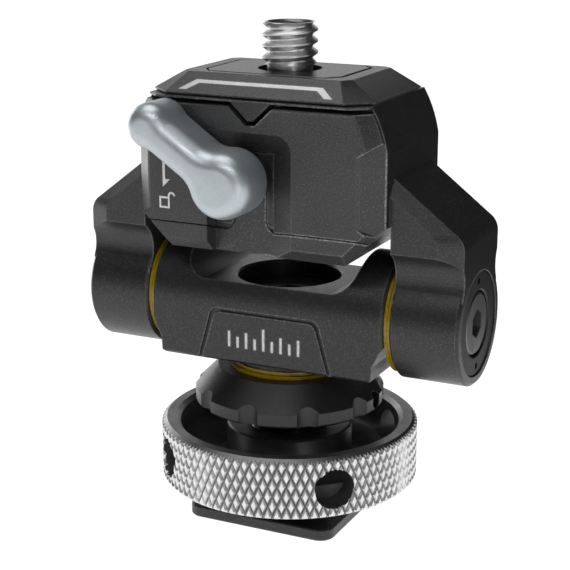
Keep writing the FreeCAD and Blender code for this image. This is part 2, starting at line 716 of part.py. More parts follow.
def recess_cut():
    """The pocket in the front that the lever turns in: sloped top and right walls, open at the bottom."""
    r = RECESS_CORNER
    corner_x, corner_z = RECESS_RIGHT - 0.3 * r, RECESS_TOP_Z - 0.3 * r
    low = HOUSING_Z0 - 3
    front = [
        (RECESS_LEFT, low), (RECESS_RIGHT, low), (RECESS_RIGHT, RECESS_TOP_Z - r),
        ((corner_x, corner_z), (RECESS_RIGHT - r, RECESS_TOP_Z)), (RECESS_LEFT, RECESS_TOP_Z),
    ]
    x, z, r_in = RECESS_FLOOR_RIGHT, RECESS_FLOOR_TOP_Z, 0.5
    back = [
        (RECESS_LEFT, low), (x, low), (x, z - r_in),
        ((x - 0.3 * r_in, z - 0.3 * r_in), (x - r_in, z)), (RECESS_LEFT, z),
    ]
    pocket = ruled(front, back, HOUSING_FRONT, RECESS_FLOOR_Y)
    return pocket.fuse(prism_xz(front, HOUSING_FRONT - 2, HOUSING_FRONT))


def tongue_outline(grow):
    """The strip of the base cover that closes the housing below the lever's shaft."""
    half = TONGUE_HALF + grow
    foot = half + TONGUE_FLARE
    seam_z = SEAM_Z - SEAM_RISE * (RECESS_FLOOR_Y - HOUSING_FRONT) + grow
    flare_z = seam_z + 2 * TONGUE_FLARE
    middle = (half + 0.2 * TONGUE_FLARE, seam_z + 0.7 * TONGUE_FLARE)
    steps = mirrored([(foot, seam_z - 1), (foot, seam_z), (middle, (half, flare_z)), (half, LEVER_Z)])
    return [moved_x(step, LEVER_X) for step in steps]


def moved_x(step, dx):
    """An outline's step, moved sideways."""
    if is_arc(step):
        return tuple(moved_x(point, dx) for point in step)
    return (step[0] + dx, step[1])


def v_outline(grow):
    """The V that hangs from the body's lip, or with grow the notch round it in the front cover."""
    top_half, low_half, low_z = V_TAB
    slope = (top_half - low_half) / (LIP_Z - low_z)
    wider = grow * math.hypot(1, slope)
    above = 0.5
    low = (low_half + wider - slope * grow, low_z - grow)
    return mirrored([low, (top_half + wider + slope * above, LIP_Z + above)])


def arm():
    """The right arm: a raked plate from the housing down to the round tilt boss."""
    full = [
        (BOSS_X0, TILT_Z), (BOSS_X1, TILT_Z), (BOSS_X1, 35.3), ((22.93, 36.35), (22.2, 37.05)),
        (HOUSING_X, 42.5), (14.0, 43.35), (14.0, 37.6), (BOSS_X0, 37.6),
    ]
    inset = [
        (BOSS_X0, TILT_Z), (20.6, TILT_Z), (20.6, 35.3), ((20.36, 36.4), (19.8, 37.1)),
        (HOUSING_X, 40.75), (14.0, 41.6), (14.0, 37.6), (BOSS_X0, 37.6),
    ]
    plate = prism_xz(full, -ARM_EDGE_HALF, ARM_EDGE_HALF)
    plate = plate.fuse(ruled(inset, full, -ARM_HALF, -ARM_EDGE_HALF))
    plate = plate.fuse(ruled(full, inset, ARM_EDGE_HALF, ARM_HALF))
    plate = plate.common(prism_yz(arm_side_outline(), 10, 26))
    lip, outer_lip = 0.25, 0.35
    boss = turned_x([
        (BOSS_X0, 0), (BOSS_X0, BOSS_R - lip), (BOSS_X0 + lip, BOSS_R), (BOSS_X1 - outer_lip, BOSS_R),
        (BOSS_X1, BOSS_R - outer_lip), (BOSS_X1, 0),
    ])
    return plate.fuse(boss)


def arm_side_outline():
    """The arm seen from its end: it narrows in a sweep to the width of the boss."""
    neck_z, waist_z, arm_top_z = 34.4, 28.9, 48
    waist = math.sqrt(BOSS_R ** 2 - (waist_z - TILT_Z) ** 2)
    sweep = (5.25, 31.4)
    half = [(waist, TILT_Z), (waist, waist_z), (sweep, (ARM_HALF, neck_z)), (ARM_HALF, arm_top_z)]
    return mirrored(half)


def boss_bores():
    """Everything that is bored out of the right boss along the tilt axis."""
    shoulder = TILT_SHOULDER_R + RUNNING
    head = TILT_SPRING[1] + LOOSE
    ring_x, ring_r = TILT_RING_X0 - 2 * TOUCH, TILT_RING_R + 3 * TOUCH
    x0, x1 = BLOCK_X - 4, BOSS_X1 + 2
    return turned_x([
        (x0, 0), (x0, shoulder), (BOSS_STEP_X, shoulder), (BOSS_STEP_X, head),
        (ring_x, head), (ring_x, ring_r), (x1, ring_r), (x1, 0),
    ])


def yoke_front():
    """What the body shows through its front cover: the top lip, the V tab and the recess floor."""
    past = HOUSING_X + 1
    lip = block(-past, past, HOUSING_FRONT - 1, COVER_BACK, LIP_Z, HOUSING_Z1)
    tab = prism_xz(v_outline(0.0), HOUSING_FRONT, COVER_BACK)
    tab = chamfered(tab, 0.12, lambda p, e: near(p.y, HOUSING_FRONT) and p.z < LIP_Z)
    tab = tab.common(block(-past, past, HOUSING_FRONT, COVER_BACK, LEVER_Z, HOUSING_Z1))
    floor = prism_xz([(RECESS_LEFT + 0.1, SEAM_Z), (WINDOW_RIGHT - 0.1, SEAM_Z),
                      (WINDOW_RIGHT - 0.1, WINDOW_TOP_Z - 0.1), (RECESS_LEFT + 0.1, WINDOW_TOP_Z - 0.1)],
                     RECESS_FLOOR_Y, COVER_BACK)
    return lip, tab, floor


def yoke_body(form):
    """The clamp body with its two arms, in one piece. It holds the lock, the ejectors and the pivots."""
    past = HOUSING_X + 1
    body = form.common(block(-past, past, COVER_BACK, HOUSING_BACK, SEAM_Z, HOUSING_Z1))
    lip, tab, floor = yoke_front()
    body = body.fuse(form.common(lip)).fuse(tab).fuse(floor)
    right = arm()
    body = body.fuse(right).fuse(flip_x(right))
    bores = boss_bores()
    body = body.cut(bores).cut(flip_x(bores))
    x0, x1, y0, y1 = CHAMBER
    body = body.cut(block(x0, x1, y0, y1, SEAM_Z - 1, CHAMBER_Z1))
    body = body.cut(mortise())
    body = body.cut(prism_xz(tongue_outline(SEAM_GAP), HOUSING_FRONT, COVER_BACK))
    body = body.cut(cyl_y(SHAFT_R + RUNNING, HOUSING_FRONT, y0 + 1))
    body = body.cut(cyl_y(BUSH_SLEEVE_R + LOOSE, HOUSING_FRONT, COVER_BACK))
    body = body.cut(cyl_y(SPRING_POCKET_R, COVER_BACK - TOUCH, y0 - 0.5))
    leg = SPRING_WIRE_R + LOOSE
    body = body.cut(block(LEVER_X - leg, LEVER_X + leg, COVER_BACK, -6.9, LEVER_Z + 3.0, LEVER_Z + 5.2))
    for x, y in BASE_SCREW_SPOTS:
        body = body.cut(cyl_z(BASE_SCREW_R + 2 * TOUCH, SEAM_Z - 1, BASE_SCREW_Z1 + 0.4, x, y))
    for x, y in EJECTOR_SPOTS:
        body = body.cut(cyl_z(EJECTOR_R + RUNNING, EJECTOR_HOLE_Z0, HOUSING_Z1 + 1, x, y))
    for x, z in COVER_SCREW_SPOTS:
        body = body.cut(cyl_y(COVER_SCREW_R + RUNNING, COVER_BACK - 1, y0 + 1, x, z))
        body = body.cut(cyl_y(COVER_SCREW_HEAD_R + LOOSE, COVER_SCREW_SEAT_Y, y0 + 1, x, z))
    return body


def mortise():
    """The pocket in the top of the body that the plate's tenon drops into."""
    x = TENON_X + MORTISE_GAP
    y0, y1 = TENON_Y[0] - MORTISE_GAP, TENON_Y[1] + MORTISE_GAP
    pocket = block(-x, x, y0, y1, TENON_Z0 - MORTISE_GAP, HOUSING_Z1 + 1)
    return rounded(pocket, 0.8, lambda p, e: near(abs(p.x), x) and (near(p.y, y0) or near(p.y, y1)))


def release_mark_shapes(y0, y1):
    """The white marks beside the lever: an arrow pointing down and an open padlock."""
    line = 0.24
    arrow_x, arrow_half = -10.8, 0.17
    arrow_z0, arrow_z1, barb = 40.0, 43.9, 0.95
    shaft = block(arrow_x - arrow_half, arrow_x + arrow_half, y0, y1, arrow_z0 + 0.6, arrow_z1)
    left = arrow_x - arrow_half
    head = prism_xz([(left, arrow_z0), (left + barb, arrow_z0 + barb), (left, arrow_z0 + barb)], y0, y1)

    x0, x1, z0, z1 = -11.45, -10.1, 37.6, 38.95
    lock = block(x0, x1, y0, y1, z0, z1)
    lock = lock.cut(block(x0 + line, x1 - line, y0, y1, z0 + line, z1 - line))
    bow_x, bow_z, bow_r = x1 + 0.23, z1 + 0.12, 0.47
    bow = cyl_y(bow_r, y0, y1, bow_x, bow_z).cut(cyl_y(bow_r - line, y0, y1, bow_x, bow_z))
    bow = bow.common(block(bow_x - 1, bow_x + 1, y0, y1, bow_z, bow_z + 1))
    leg = block(bow_x - bow_r, bow_x - bow_r + line, y0, y1, z1 - TOUCH, bow_z + TOUCH)
    return [shaft.fuse(head), lock.fuse(bow).fuse(leg)]


def front_cover(form):
    """The front cover, with the lever's recess and window, the V notch and the engraved marks."""
    past = HOUSING_X + 1
    y0 = HOUSING_FRONT - 1
    cover = form.common(block(-past, past, y0, COVER_BACK, HOUSING_Z0, COVER_TOP_Z))
    cover = cover.cut(below_seam(SEAM_GAP))
    cover = chamfered(cover, 0.2, lambda p, e: near(p.y, HOUSING_FRONT) and p.z > 47)
    cover = chamfered(cover, 0.2, lambda p, e: near(p.y, HOUSING_FRONT) and abs(p.x) > 12 and e.Length > 7)
    cover = cover.cut(prism_xz(v_outline(LIP_GROOVE), y0, 0))
    cover = cover.cut(recess_cut())
    cover = cover.cut(block(RECESS_LEFT, WINDOW_RIGHT, RECESS_FLOOR_Y - 0.9, 0, HOUSING_Z0, WINDOW_TOP_Z))
    for x, z in COVER_SCREW_SPOTS:
        cover = cover.cut(cyl_y(COVER_SCREW_R + 2 * TOUCH, -9.4, COVER_BACK + 1, x, z))
    for mark in release_mark_shapes(y0, HOUSING_FRONT + MARK_DEPTH):
        cover = cover.cut(mark)
    return cover


def release_marks():
    return Part.makeCompound(release_mark_shapes(HOUSING_FRONT + 2 * TOUCH, HOUSING_FRONT + MARK_DEPTH))


def base_cover(form):
    """The cover under the housing, with the tongue that stands in the recess below the shaft."""
    past = HOUSING_X + 1
    space = block(-past, past, COVER_BACK, HOUSING_BACK, HOUSING_Z0, SEAM_Z)
    cover = form.common(space.fuse(below_seam(0.0)))
    cover = cover.cut(recess_cut())
    tongue = prism_xz(tongue_outline(0.0), RECESS_FLOOR_Y, COVER_BACK)
    cover = cover.fuse(tongue)
    cover = cover.cut(cyl_y(BUSH_SLEEVE_R + LOOSE, HOUSING_FRONT, COVER_BACK))
    for x, y in BASE_SCREW_SPOTS:
        cover = cover.cut(cyl_z(BASE_SCREW_R + RUNNING, HOUSING_Z0, SEAM_Z, x, y))
        cover = cover.cut(cyl_z(BASE_SCREW_HEAD_R + RUNNING, HOUSING_Z0, BASE_SCREW_SEAT_Z, x, y))
    return cover


def base_cover_screws():
    """Four socket-head screws, their heads sunk in the base cover."""
    z0, seat = HOUSING_Z0 + 0.3, BASE_SCREW_SEAT_Z - 2 * TOUCH
    screws = []
    for x, y in BASE_SCREW_SPOTS:
        shank = cyl_z(BASE_SCREW_R, seat - 0.1, BASE_SCREW_Z1, x, y)
        screw = cyl_z(BASE_SCREW_HEAD_R, z0, seat, x, y).fuse(shank)
        screws.append(screw.cut(hex_socket(SCREW_HEX, (x, y, z0 - 0.3), (x, y, z0 + 0.7))))
    return Part.makeCompound(screws)


def front_cover_screws():
    """Two screws that hold the front cover from inside the body."""
    seat, head_y = COVER_SCREW_SEAT_Y + RUNNING, -5.0
    screws = []
    for x, z in COVER_SCREW_SPOTS:
        shank = cyl_y(COVER_SCREW_R, -9.2, seat + 0.1, x, z)
        screw = cyl_y(COVER_SCREW_HEAD_R, seat, head_y, x, z).fuse(shank)
        screws.append(screw.cut(hex_socket(SCREW_HEX, (x, head_y - 0.6, z), (x, head_y + 0.5, z))))
    return Part.makeCompound(screws)


# Lever and lock ---------------------------------------------------------------------------------------

def about_lever(radius, degrees):
    """A point (x, z) at a radius and an angle from the lever's axis."""
    a = math.radians(degrees)
    return LEVER_X + radius * math.cos(a), LEVER_Z + radius * math.sin(a)


def sector(r0, r1, y0, y1, a0, a1):
    """Part of a ring round the lever's axis, between two angles in degrees."""
    middle = (a0 + a1) / 2
    steps = [
        about_lever(r0, a0), about_lever(r1, a0), (about_lever(r1, middle), about_lever(r1, a1)),
        about_lever(r0, a1), (about_lever(r0, middle), about_lever(r0, a0)),
    ]
    return prism_xz(steps, y0, y1)


def lever_end(radius, x, z):
    """A round end of the lever: a puck with a heavily rounded rim."""
    puck = cyl_y(radius, LEVER_FRONT, LEVER_BACK, x, z)
    half_depth = (LEVER_BACK - LEVER_FRONT) / 2
    rim = 0.72 * min(half_depth, radius)
    return puck.makeFillet(rim, [edge for edge in puck.Edges if edge.Closed])


def lever():
    """The dog-bone release lever: a big round end on the shaft and a small one to push."""
    inset = 0.25
    bar = block(0, LEVER_LENGTH, LEVER_FRONT + inset, LEVER_BACK - inset, -LEVER_BAR_HALF, LEVER_BAR_HALF)
    bar = bar.makeFillet(1.6, [edge for edge in bar.Edges if near(edge.Length, LEVER_LENGTH)])
    bar.rotate(V(0, 0, 0), V(0, 1, 0), -LEVER_ANGLE)
    bar.translate(V(LEVER_X, 0, LEVER_Z))
    tip_x, tip_z = about_lever(LEVER_LENGTH, LEVER_ANGLE)
    body = lever_end(LEVER_BIG_R, LEVER_X, LEVER_Z).fuse(lever_end(LEVER_SMALL_R, tip_x, tip_z)).fuse(bar)
    body = body.cut(cyl_y(SHAFT_R, SHAFT_Y0, LEVER_BACK + 1))
    return body.cut(lever_screw_bore(LEVER_SCREW_R + 2 * TOUCH, LEVER_BIG_R + 1))


def lever_screw_bore(radius, reach):
    """A cylinder up to the shaft from below, as long as reach from the lever's axis."""
    start = (LEVER_X, LEVER_SCREW_Y, LEVER_Z - reach)
    return cyl(radius, start, (LEVER_X, LEVER_SCREW_Y, LEVER_Z - SHAFT_R))


def lever_set_screw():
    """The headless screw that locks the lever on its shaft."""
    reach, hex_size, hex_depth = 3.5, 1.0, 0.7
    z0 = LEVER_Z - reach
    below, floor = (LEVER_X, LEVER_SCREW_Y, z0 - 0.2), (LEVER_X, LEVER_SCREW_Y, z0 + hex_depth)
    return lever_screw_bore(LEVER_SCREW_R, reach).cut(hex_socket(hex_size, below, floor))


def crank_pin_spot():
    """The crank pin's centre at rest. It swings evenly to both sides of straight down."""
    return about_lever(CRANK_R, CRANK_REST_ANGLE - 90)


def lever_shaft():
    """The lever's shaft, with a disc at its inner end that carries an eccentric crank pin."""
    x, z = crank_pin_spot()
    disc0, disc1 = SHAFT_DISC_Y
    shaft = cyl_y(SHAFT_R, SHAFT_Y0, disc0).fuse(cyl_y(SHAFT_DISC_R, disc0, disc1))
    shaft = shaft.fuse(cyl_y(CRANK_PIN_R, disc1 - 0.1, CRANK_PIN_Y1, x, z))
    slot = sector(SPRING_SLOT_R, SHAFT_DISC_R, COVER_BACK + 0.05, COVER_BACK + 0.85, *SPRING_SLOT)
    return shaft.cut(slot)


def lever_bush():
    """The flanged bush round the shaft, between the lever and the floor of the recess."""
    flange = cyl_y(BUSH_FLANGE_R, LEVER_BACK + 0.1, RECESS_FLOOR_Y - TOUCH)
    sleeve = cyl_y(BUSH_SLEEVE_R, RECESS_FLOOR_Y - 0.1, COVER_BACK - 2 * TOUCH)
    return flange.fuse(sleeve).cut(cyl_y(SHAFT_R + RUNNING, LEVER_BACK, COVER_BACK))


def lever_torsion_spring():
    """Close-wound wire round the shaft. One leg is in the body, the other in the shaft's slot."""
    wire, mean = SPRING_WIRE_R, SPRING_COIL_R
    leg_y = COVER_BACK + 0.1 + wire
    leg = 0.8 * wire
    spring = cyl(leg, (LEVER_X + mean, leg_y, LEVER_Z), (LEVER_X + SPRING_SLOT_R + 0.1, leg_y, LEVER_Z))
    spring = spring.fuse(cyl(leg, (LEVER_X, leg_y, LEVER_Z + mean), (LEVER_X, leg_y, LEVER_Z + 4.9)))
    for k in range(SPRING_TURNS):
        y = leg_y + k * SPRING_PITCH
        spring = spring.fuse(Part.makeTorus(mean, wire, V(LEVER_X, y, LEVER_Z), V(0, 1, 0)))
    return spring


def lock_slider():
    """A channel that slides sideways. Its two noses hold the plate's hooks down."""
    y0, y1 = LATCH_Y
    web_z0, web_z1, nose_z1 = LATCH_Z
    post0, post1 = LATCH_POST
    x0, x1 = HOOKS[0][0] + post0, HOOKS[1][0] + post1
    wall0, wall1 = 1.8, 1.6
    foot_z = SEAM_Z + 0.1
    body = block(x0, x1, y0, y1, web_z0, web_z1)
    body = body.fuse(block(x0, x1, y0, y0 + wall0, foot_z, web_z1))
    body = body.fuse(block(x0, x1, y1 - wall1, y1, foot_z, web_z1))
    for hook, _ in HOOKS:
        tip = 0.15
        nose = [
            (hook + tip, HOOK_Z - HOOK_SLOPE * tip + HOOK_GAP),
            (hook + post0, HOOK_Z - HOOK_SLOPE * post0 + HOOK_GAP),
            (hook + post0, web_z0), (hook + post1, web_z0), (hook + post1, nose_z1), (hook + tip, nose_z1),
        ]
        body = body.fuse(prism_xz(nose, y0, y1))
    x, z = crank_pin_spot()
    half = CRANK_PIN_R + RUNNING
    slot_z0 = LEVER_Z - CRANK_R - half - 0.1
    slot_z1 = z + half + 0.1
    return body.cut(block(x - half, x + half, y0, y0 + wall0 + TOUCH, slot_z0, slot_z1))


# Release plate, camera screw and ejectors ------------------------------------------------------------------

def inlay(depth_in, depth_out):
    """A thin bright line on the plate's front bevel, with its two ends turned down."""
    run, rise = PLATE_TOP[2] - PLATE_LOW[2], PLATE_Z1 - PLATE_EDGE_Z1
    length = math.hypot(run, rise)
    up_bevel = V(0, run / length, rise / length)
    normal = V(0, -rise / length, run / length)
    foot = V(0, PLATE_LOW[2], PLATE_EDGE_Z1)
    bend, bend_in = INLAY_BEND
    tip, tip_in = INLAY_TIP
    end, low, high = INLAY_UP
    points = [
        (-tip, end), (-tip_in, end), (-bend_in, low), (bend_in, low), (tip_in, end), (tip, end),
        (bend, high), (-bend, high), (-tip, end),
    ]
    corners = [foot + up_bevel * s + V(x, 0, 0) - normal * depth_in for x, s in points]
    return Part.Face(Part.makePolygon(corners)).extrude(normal * (depth_in + depth_out))


def release_plate():
    """The bevelled plate. Below it are the tenon that locates it and the two hooks that hold it."""
    edge = prism_xy(plan_outline(*PLATE_LOW), PLATE_Z0, PLATE_EDGE_Z1)
    edge = chamfered(edge, 0.15, lambda p, e: near(p.z, PLATE_Z0))
    low = outline(plan_outline(*PLATE_LOW), lambda x, y: V(x, y, PLATE_EDGE_Z1))
    top = outline(plan_outline(*PLATE_TOP), lambda x, y: V(x, y, PLATE_Z1))
    plate = edge.fuse(Part.makeLoft([low, top], True, True))
    y0, y1 = TENON_Y
    tenon = block(-TENON_X, TENON_X, y0, y1, TENON_Z0, PLATE_Z0 + 0.2)
    corners = rounded(tenon, 0.7, lambda p, e: near(abs(p.x), TENON_X) and (near(p.y, y0) or near(p.y, y1)))
    plate = plate.fuse(corners)
    for face, stem in HOOKS:
        tip = face + HOOK_LENGTH
        hook = [
            (face - stem, HOOK_Z0), (tip, HOOK_Z0), (tip, HOOK_Z - HOOK_SLOPE * HOOK_LENGTH), (face, HOOK_Z),
            (face, TENON_Z0 + 0.1), (face - stem, TENON_Z0 + 0.1),
        ]
        plate = plate.fuse(prism_xz(hook, *LATCH_Y))
    plate = plate.cut(cyl_z(SCREW_JOURNAL_R + SCREW_BORE_GAP, TENON_Z0, PAD_Z1))
    plate = plate.cut(cyl_z(SCREW_HEAD_R + 0.2, TENON_Z0, SCREW_HEAD_Z[1] + 0.1))
    plate = plate.cut(cyl_z(SCREW_HEAD_R + 0.5, *RING_GROOVE_Z))
    plate = plate.cut(inlay(INLAY_DEPTH, 1.0))
    return plate.cut(prism_xy(plan_outline(*PAD_POCKET), PAD_Z0 - TOUCH, PAD_Z1))


def plate_pad():
    """The grip pad let into the top of the plate."""
    pad = prism_xy(plan_outline(*PAD_OUTLINE), PAD_Z0, PAD_Z1)
    pad = chamfered(pad, 0.12, lambda p, e: near(p.z, PAD_Z1))
    return pad.cut(cyl_z(PAD_HOLE_R, PAD_Z0, PAD_Z1))


def plate_inlay():
    return inlay(INLAY_DEPTH, -TOUCH)


def camera_screw():
    """A captive quarter-inch screw: head, journal, thin neck and the thread, a cylinder at its crests."""
    head_z0, head_z1 = SCREW_HEAD_Z
    slot_half, slot_depth = 0.7, 0.7
    screw = cyl_z(SCREW_R, SCREW_THREAD_Z0, SCREW_Z1)
    screw = chamfered(screw, 0.55, lambda p, e: near(p.z, SCREW_Z1) and e.Closed)
    screw = screw.fuse(cyl_z(SCREW_NECK_R, SCREW_JOURNAL_Z1 - 0.1, SCREW_THREAD_Z0 + 0.1))
    screw = screw.fuse(cyl_z(SCREW_JOURNAL_R, head_z1 - 0.2, SCREW_JOURNAL_Z1))
    screw = screw.fuse(cyl_z(SCREW_HEAD_R, head_z0, head_z1))
    return screw.cut(block(-SCREW_HEAD_R, SCREW_HEAD_R, -slot_half, slot_half, head_z0, head_z0 + slot_depth))


def screw_retaining_ring():
    """The split ring that keeps the camera screw in the plate."""
    z0, z1 = RING_GROOVE_Z[0] + 2 * TOUCH, RING_GROOVE_Z[1] - 2 * TOUCH
    ring = ring_z(SCREW_HEAD_R + 0.45, SCREW_HEAD_R - 0.6, z0, z1)
    return ring.cut(block(-1.0, 1.0, 0, SCREW_HEAD_R + 1, z0, z1))


def ejector_pins():
    """Four sprung pins that push the plate up when the lever lets it go."""
    pins = []
    for x, y in EJECTOR_SPOTS:
        pin = cyl_z(EJECTOR_R, EJECTOR_Z0, PLATE_Z0 - TOUCH, x, y)
        pins.append(chamfered(pin, 0.2, lambda p, e: near(p.z, PLATE_Z0 - TOUCH) and e.Closed))
    return Part.makeCompound(pins)


def ejector_springs():
    springs = []
    for x, y in EJECTOR_SPOTS:
        spring = coil(0.72, 0.16, 3.3, 5)
        spring.translate(V(x, y, EJECTOR_HOLE_Z0 + RUNNING))
        springs.append(spring)
    return Part.makeCompound(springs)


# Nodes --------------------------------------------------------------------------------------------------

SINGLE_PARTS = (
    shoe_foot, threaded_stem, thumbwheel, shoe_washer, notched_collar, collar_set_screws,
    swivel_washer_lower, swivel_washer_upper, swivel_bush, swivel_top_washer, swivel_disc_spring,
    swivel_bolt, head_block, index_marks, release_marks, base_cover_screws, front_cover_screws,
    lever, lever_set_screw, lever_shaft, lever_bush, lever_torsion_spring, lock_slider,
    release_plate, plate_pad, plate_inlay, camera_screw, screw_retaining_ring, ejector_pins,
    ejector_springs,
)
HOUSING_PARTS = (yoke_body, front_cover, base_cover)
PAIRED_PARTS = (tilt_bolt, tilt_washer_inner, tilt_washer_outer, tilt_disc_spring, tilt_ring)


def main():
    os.makedirs("parts", exist_ok=True)
    for make in SINGLE_PARTS:
        save(make.__name__, make())
    form = housing_form()
    for make in HOUSING_PARTS:
        save(make.__name__, make(form))
    for make in PAIRED_PARTS:
        save(make.__name__ + "_left", make(-1))
        save(make.__name__ + "_right", make(1))


main()
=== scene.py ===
"""Looks of the swivel and tilt accessory mount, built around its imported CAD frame."""

import json
import math

import bmesh
import bpy
from mathutils import Matrix, Vector


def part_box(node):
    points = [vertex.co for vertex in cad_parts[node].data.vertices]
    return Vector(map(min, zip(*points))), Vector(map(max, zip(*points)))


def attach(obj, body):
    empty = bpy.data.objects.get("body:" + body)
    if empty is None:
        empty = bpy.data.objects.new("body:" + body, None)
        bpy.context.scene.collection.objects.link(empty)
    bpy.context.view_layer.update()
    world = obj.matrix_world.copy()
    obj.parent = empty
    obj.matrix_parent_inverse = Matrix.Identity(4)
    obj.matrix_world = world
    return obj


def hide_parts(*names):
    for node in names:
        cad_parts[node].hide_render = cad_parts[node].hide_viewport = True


MM = 0.001                  # sizes below are in millimetres, the scene is in metres
ROUND_STEPS = 72            # sides of a turned steel part
FILLET_STEPS = 8
WELD, MELT = 0.002, 0.001   # vertices closer than this join, and edges shorter than this go
TINY_R = 0.02               # stands for a point on an axis, where a ring needs its vertices apart
WHITE = (1.0, 1.0, 1.0, 1.0)

# Thumbwheel
KNURLS_AROUND = 90
KNURL_PITCH = 2.35          # height of one diamond
KNURL_DEPTH = 0.36
KNURL_FLAT = 0.50           # how far the flat top reaches towards a diamond's corners
KNURL_Z0, KNURL_Z1 = 4.6, 10.9
WHEEL_CHAMFER_R = 14.7      # inner end of the chamfer over the knurl
WHEEL_FOOT_CHAMFER = 0.3
CUP_R, CUP_LEAD_IN, CUP_FLOOR_Z, CUP_FILLET = 13.1, 0.5, 6.75, 1.4
HUB_R, HUB_Z1, HUB_BORE_R = 7.5, 10.65, 5.05
HUB_FOOT, HUB_CHAMFER, BORE_CHAMFER = 0.25, 0.2, 0.15
FACING = 0.6, 0.3           # least slope of the top ring's faces upwards, and of the knurl's outwards
SLACK = 0.1                 # how far a face may lie inside the radius that it is picked by
SEAT_R, SEAT_Z = 11.15, 5.02            # the recess under the hub
TOMMY_R, TOMMY_Z, TOMMY_FLOOR_R = 2.35, 7.6, 11.6       # the four radial holes for a tommy bar
TOMMY_ANGLES = (45, 135, 225, 315)
TOMMY_CONE, TOMMY_REACH, TOMMY_SIDES = 0.5, 18, 40

# Stem
STEM_R, STEM_PITCH, STEM_THREAD, STEM_CHAMFER = 5.0, 1.0, 0.45, 0.3
STEM_FLATS = (4.4, 9.0)     # their distance from the axis, and how high they reach
STEM_THREAD_Z1, STEM_Z1 = 13.4, 17.95
PIVOT_R, PIVOT_CHAMFER = 4.0, 0.2

# Camera screw
SCREW_R, SCREW_PITCH, SCREW_THREAD = 3.175, 1.27, 0.62
SCREW_CHAMFER = 0.35
SCREW_THREAD_Z0 = 53.25
SCREW_NECK_R = 2.6
SCREW_JOURNAL_R, SCREW_JOURNAL_Z1 = 3.4, 52.0
SCREW_HEAD_R, SCREW_HEAD_THICK, SCREW_HEAD_LIP = 5.0, 1.1, 0.2
SCREW_SOCKET_R, SCREW_SOCKET_DEPTH = 1.9, 0.8

# Release lever
LEVER_X, LEVER_Z = -1.0, 41.9
LEVER_ANGLE = 145.8
LEVER_LENGTH = 10.4
LEVER_BIG_R, LEVER_SMALL_R = 3.65, 2.55
LEVER_BAR_HALF = 2.12
LEVER_FILLET = 3.0
LEVER_ROUND = (1.78, 2.0)   # the rounded front edge: how far it reaches inwards and back
LEVER_ROUND_STEPS, LEVER_BIG_STEPS, LEVER_SMALL_STEPS = 12, 44, 36
LEVER_BACK_BREAK = 0.35
LEVER_FRONT, LEVER_BACK = -16.7, -11.0

# Shading
CRISP_ANGLE = 14.0          # CAD faces that meet at more than this keep a sharp edge
EDGE_HIGHLIGHT_WIDTH = 0.22           # how far the painted edge highlight reaches
EDGE_HIGHLIGHT_FADE = 0.5
EDGE_AO = (0.93, 0.72)      # occlusion on a flat face and on a full edge, seen from inside
GROOVE_AO = (0.88, 0.42)    # occlusion on an open face and deep in a groove
AO_SAMPLES, BEVEL_SAMPLES = 8, 4
GROOVE_SHADE_SHARE = 0.40          # how much of the metal's colour shows through the painted shade in grooves

# Camera and stage
TARGET = (-0.518, -0.249, 27.301)
VIEW_AZIMUTH, VIEW_ELEVATION, VIEW_DISTANCE = 25.661, 15.882, 175.185
LENS, SENSOR = 94.23, 36.0
LIGHT_DISTANCE = 320.0
CARD_AZIMUTH, CARD_DISTANCE, CARD_SIZE, CARD_Z0 = 140.0, 80.0, (140.0, 110.0), 0.5
BACK_WALL = (0.2, 0.75)         # where the bright wall begins towards the back, and where it is full
WALL_TOP = (0.32, 0.50)         # how high it stays bright, and where it ends
ROOM_GLOW, WALL_GLOW = 0.03, 1.0
FLOOR_REACH, FLOOR_Z = 6000, -0.02

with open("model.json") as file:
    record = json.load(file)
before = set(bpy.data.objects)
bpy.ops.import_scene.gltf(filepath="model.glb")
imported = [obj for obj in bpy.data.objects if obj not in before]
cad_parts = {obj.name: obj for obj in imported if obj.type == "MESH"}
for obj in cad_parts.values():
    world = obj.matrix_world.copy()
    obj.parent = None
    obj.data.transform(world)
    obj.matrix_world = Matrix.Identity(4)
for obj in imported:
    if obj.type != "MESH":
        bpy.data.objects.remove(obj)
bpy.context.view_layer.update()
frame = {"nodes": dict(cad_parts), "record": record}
NODES = frame["nodes"]


# Node materials ---------------------------------------------------------------------------------------

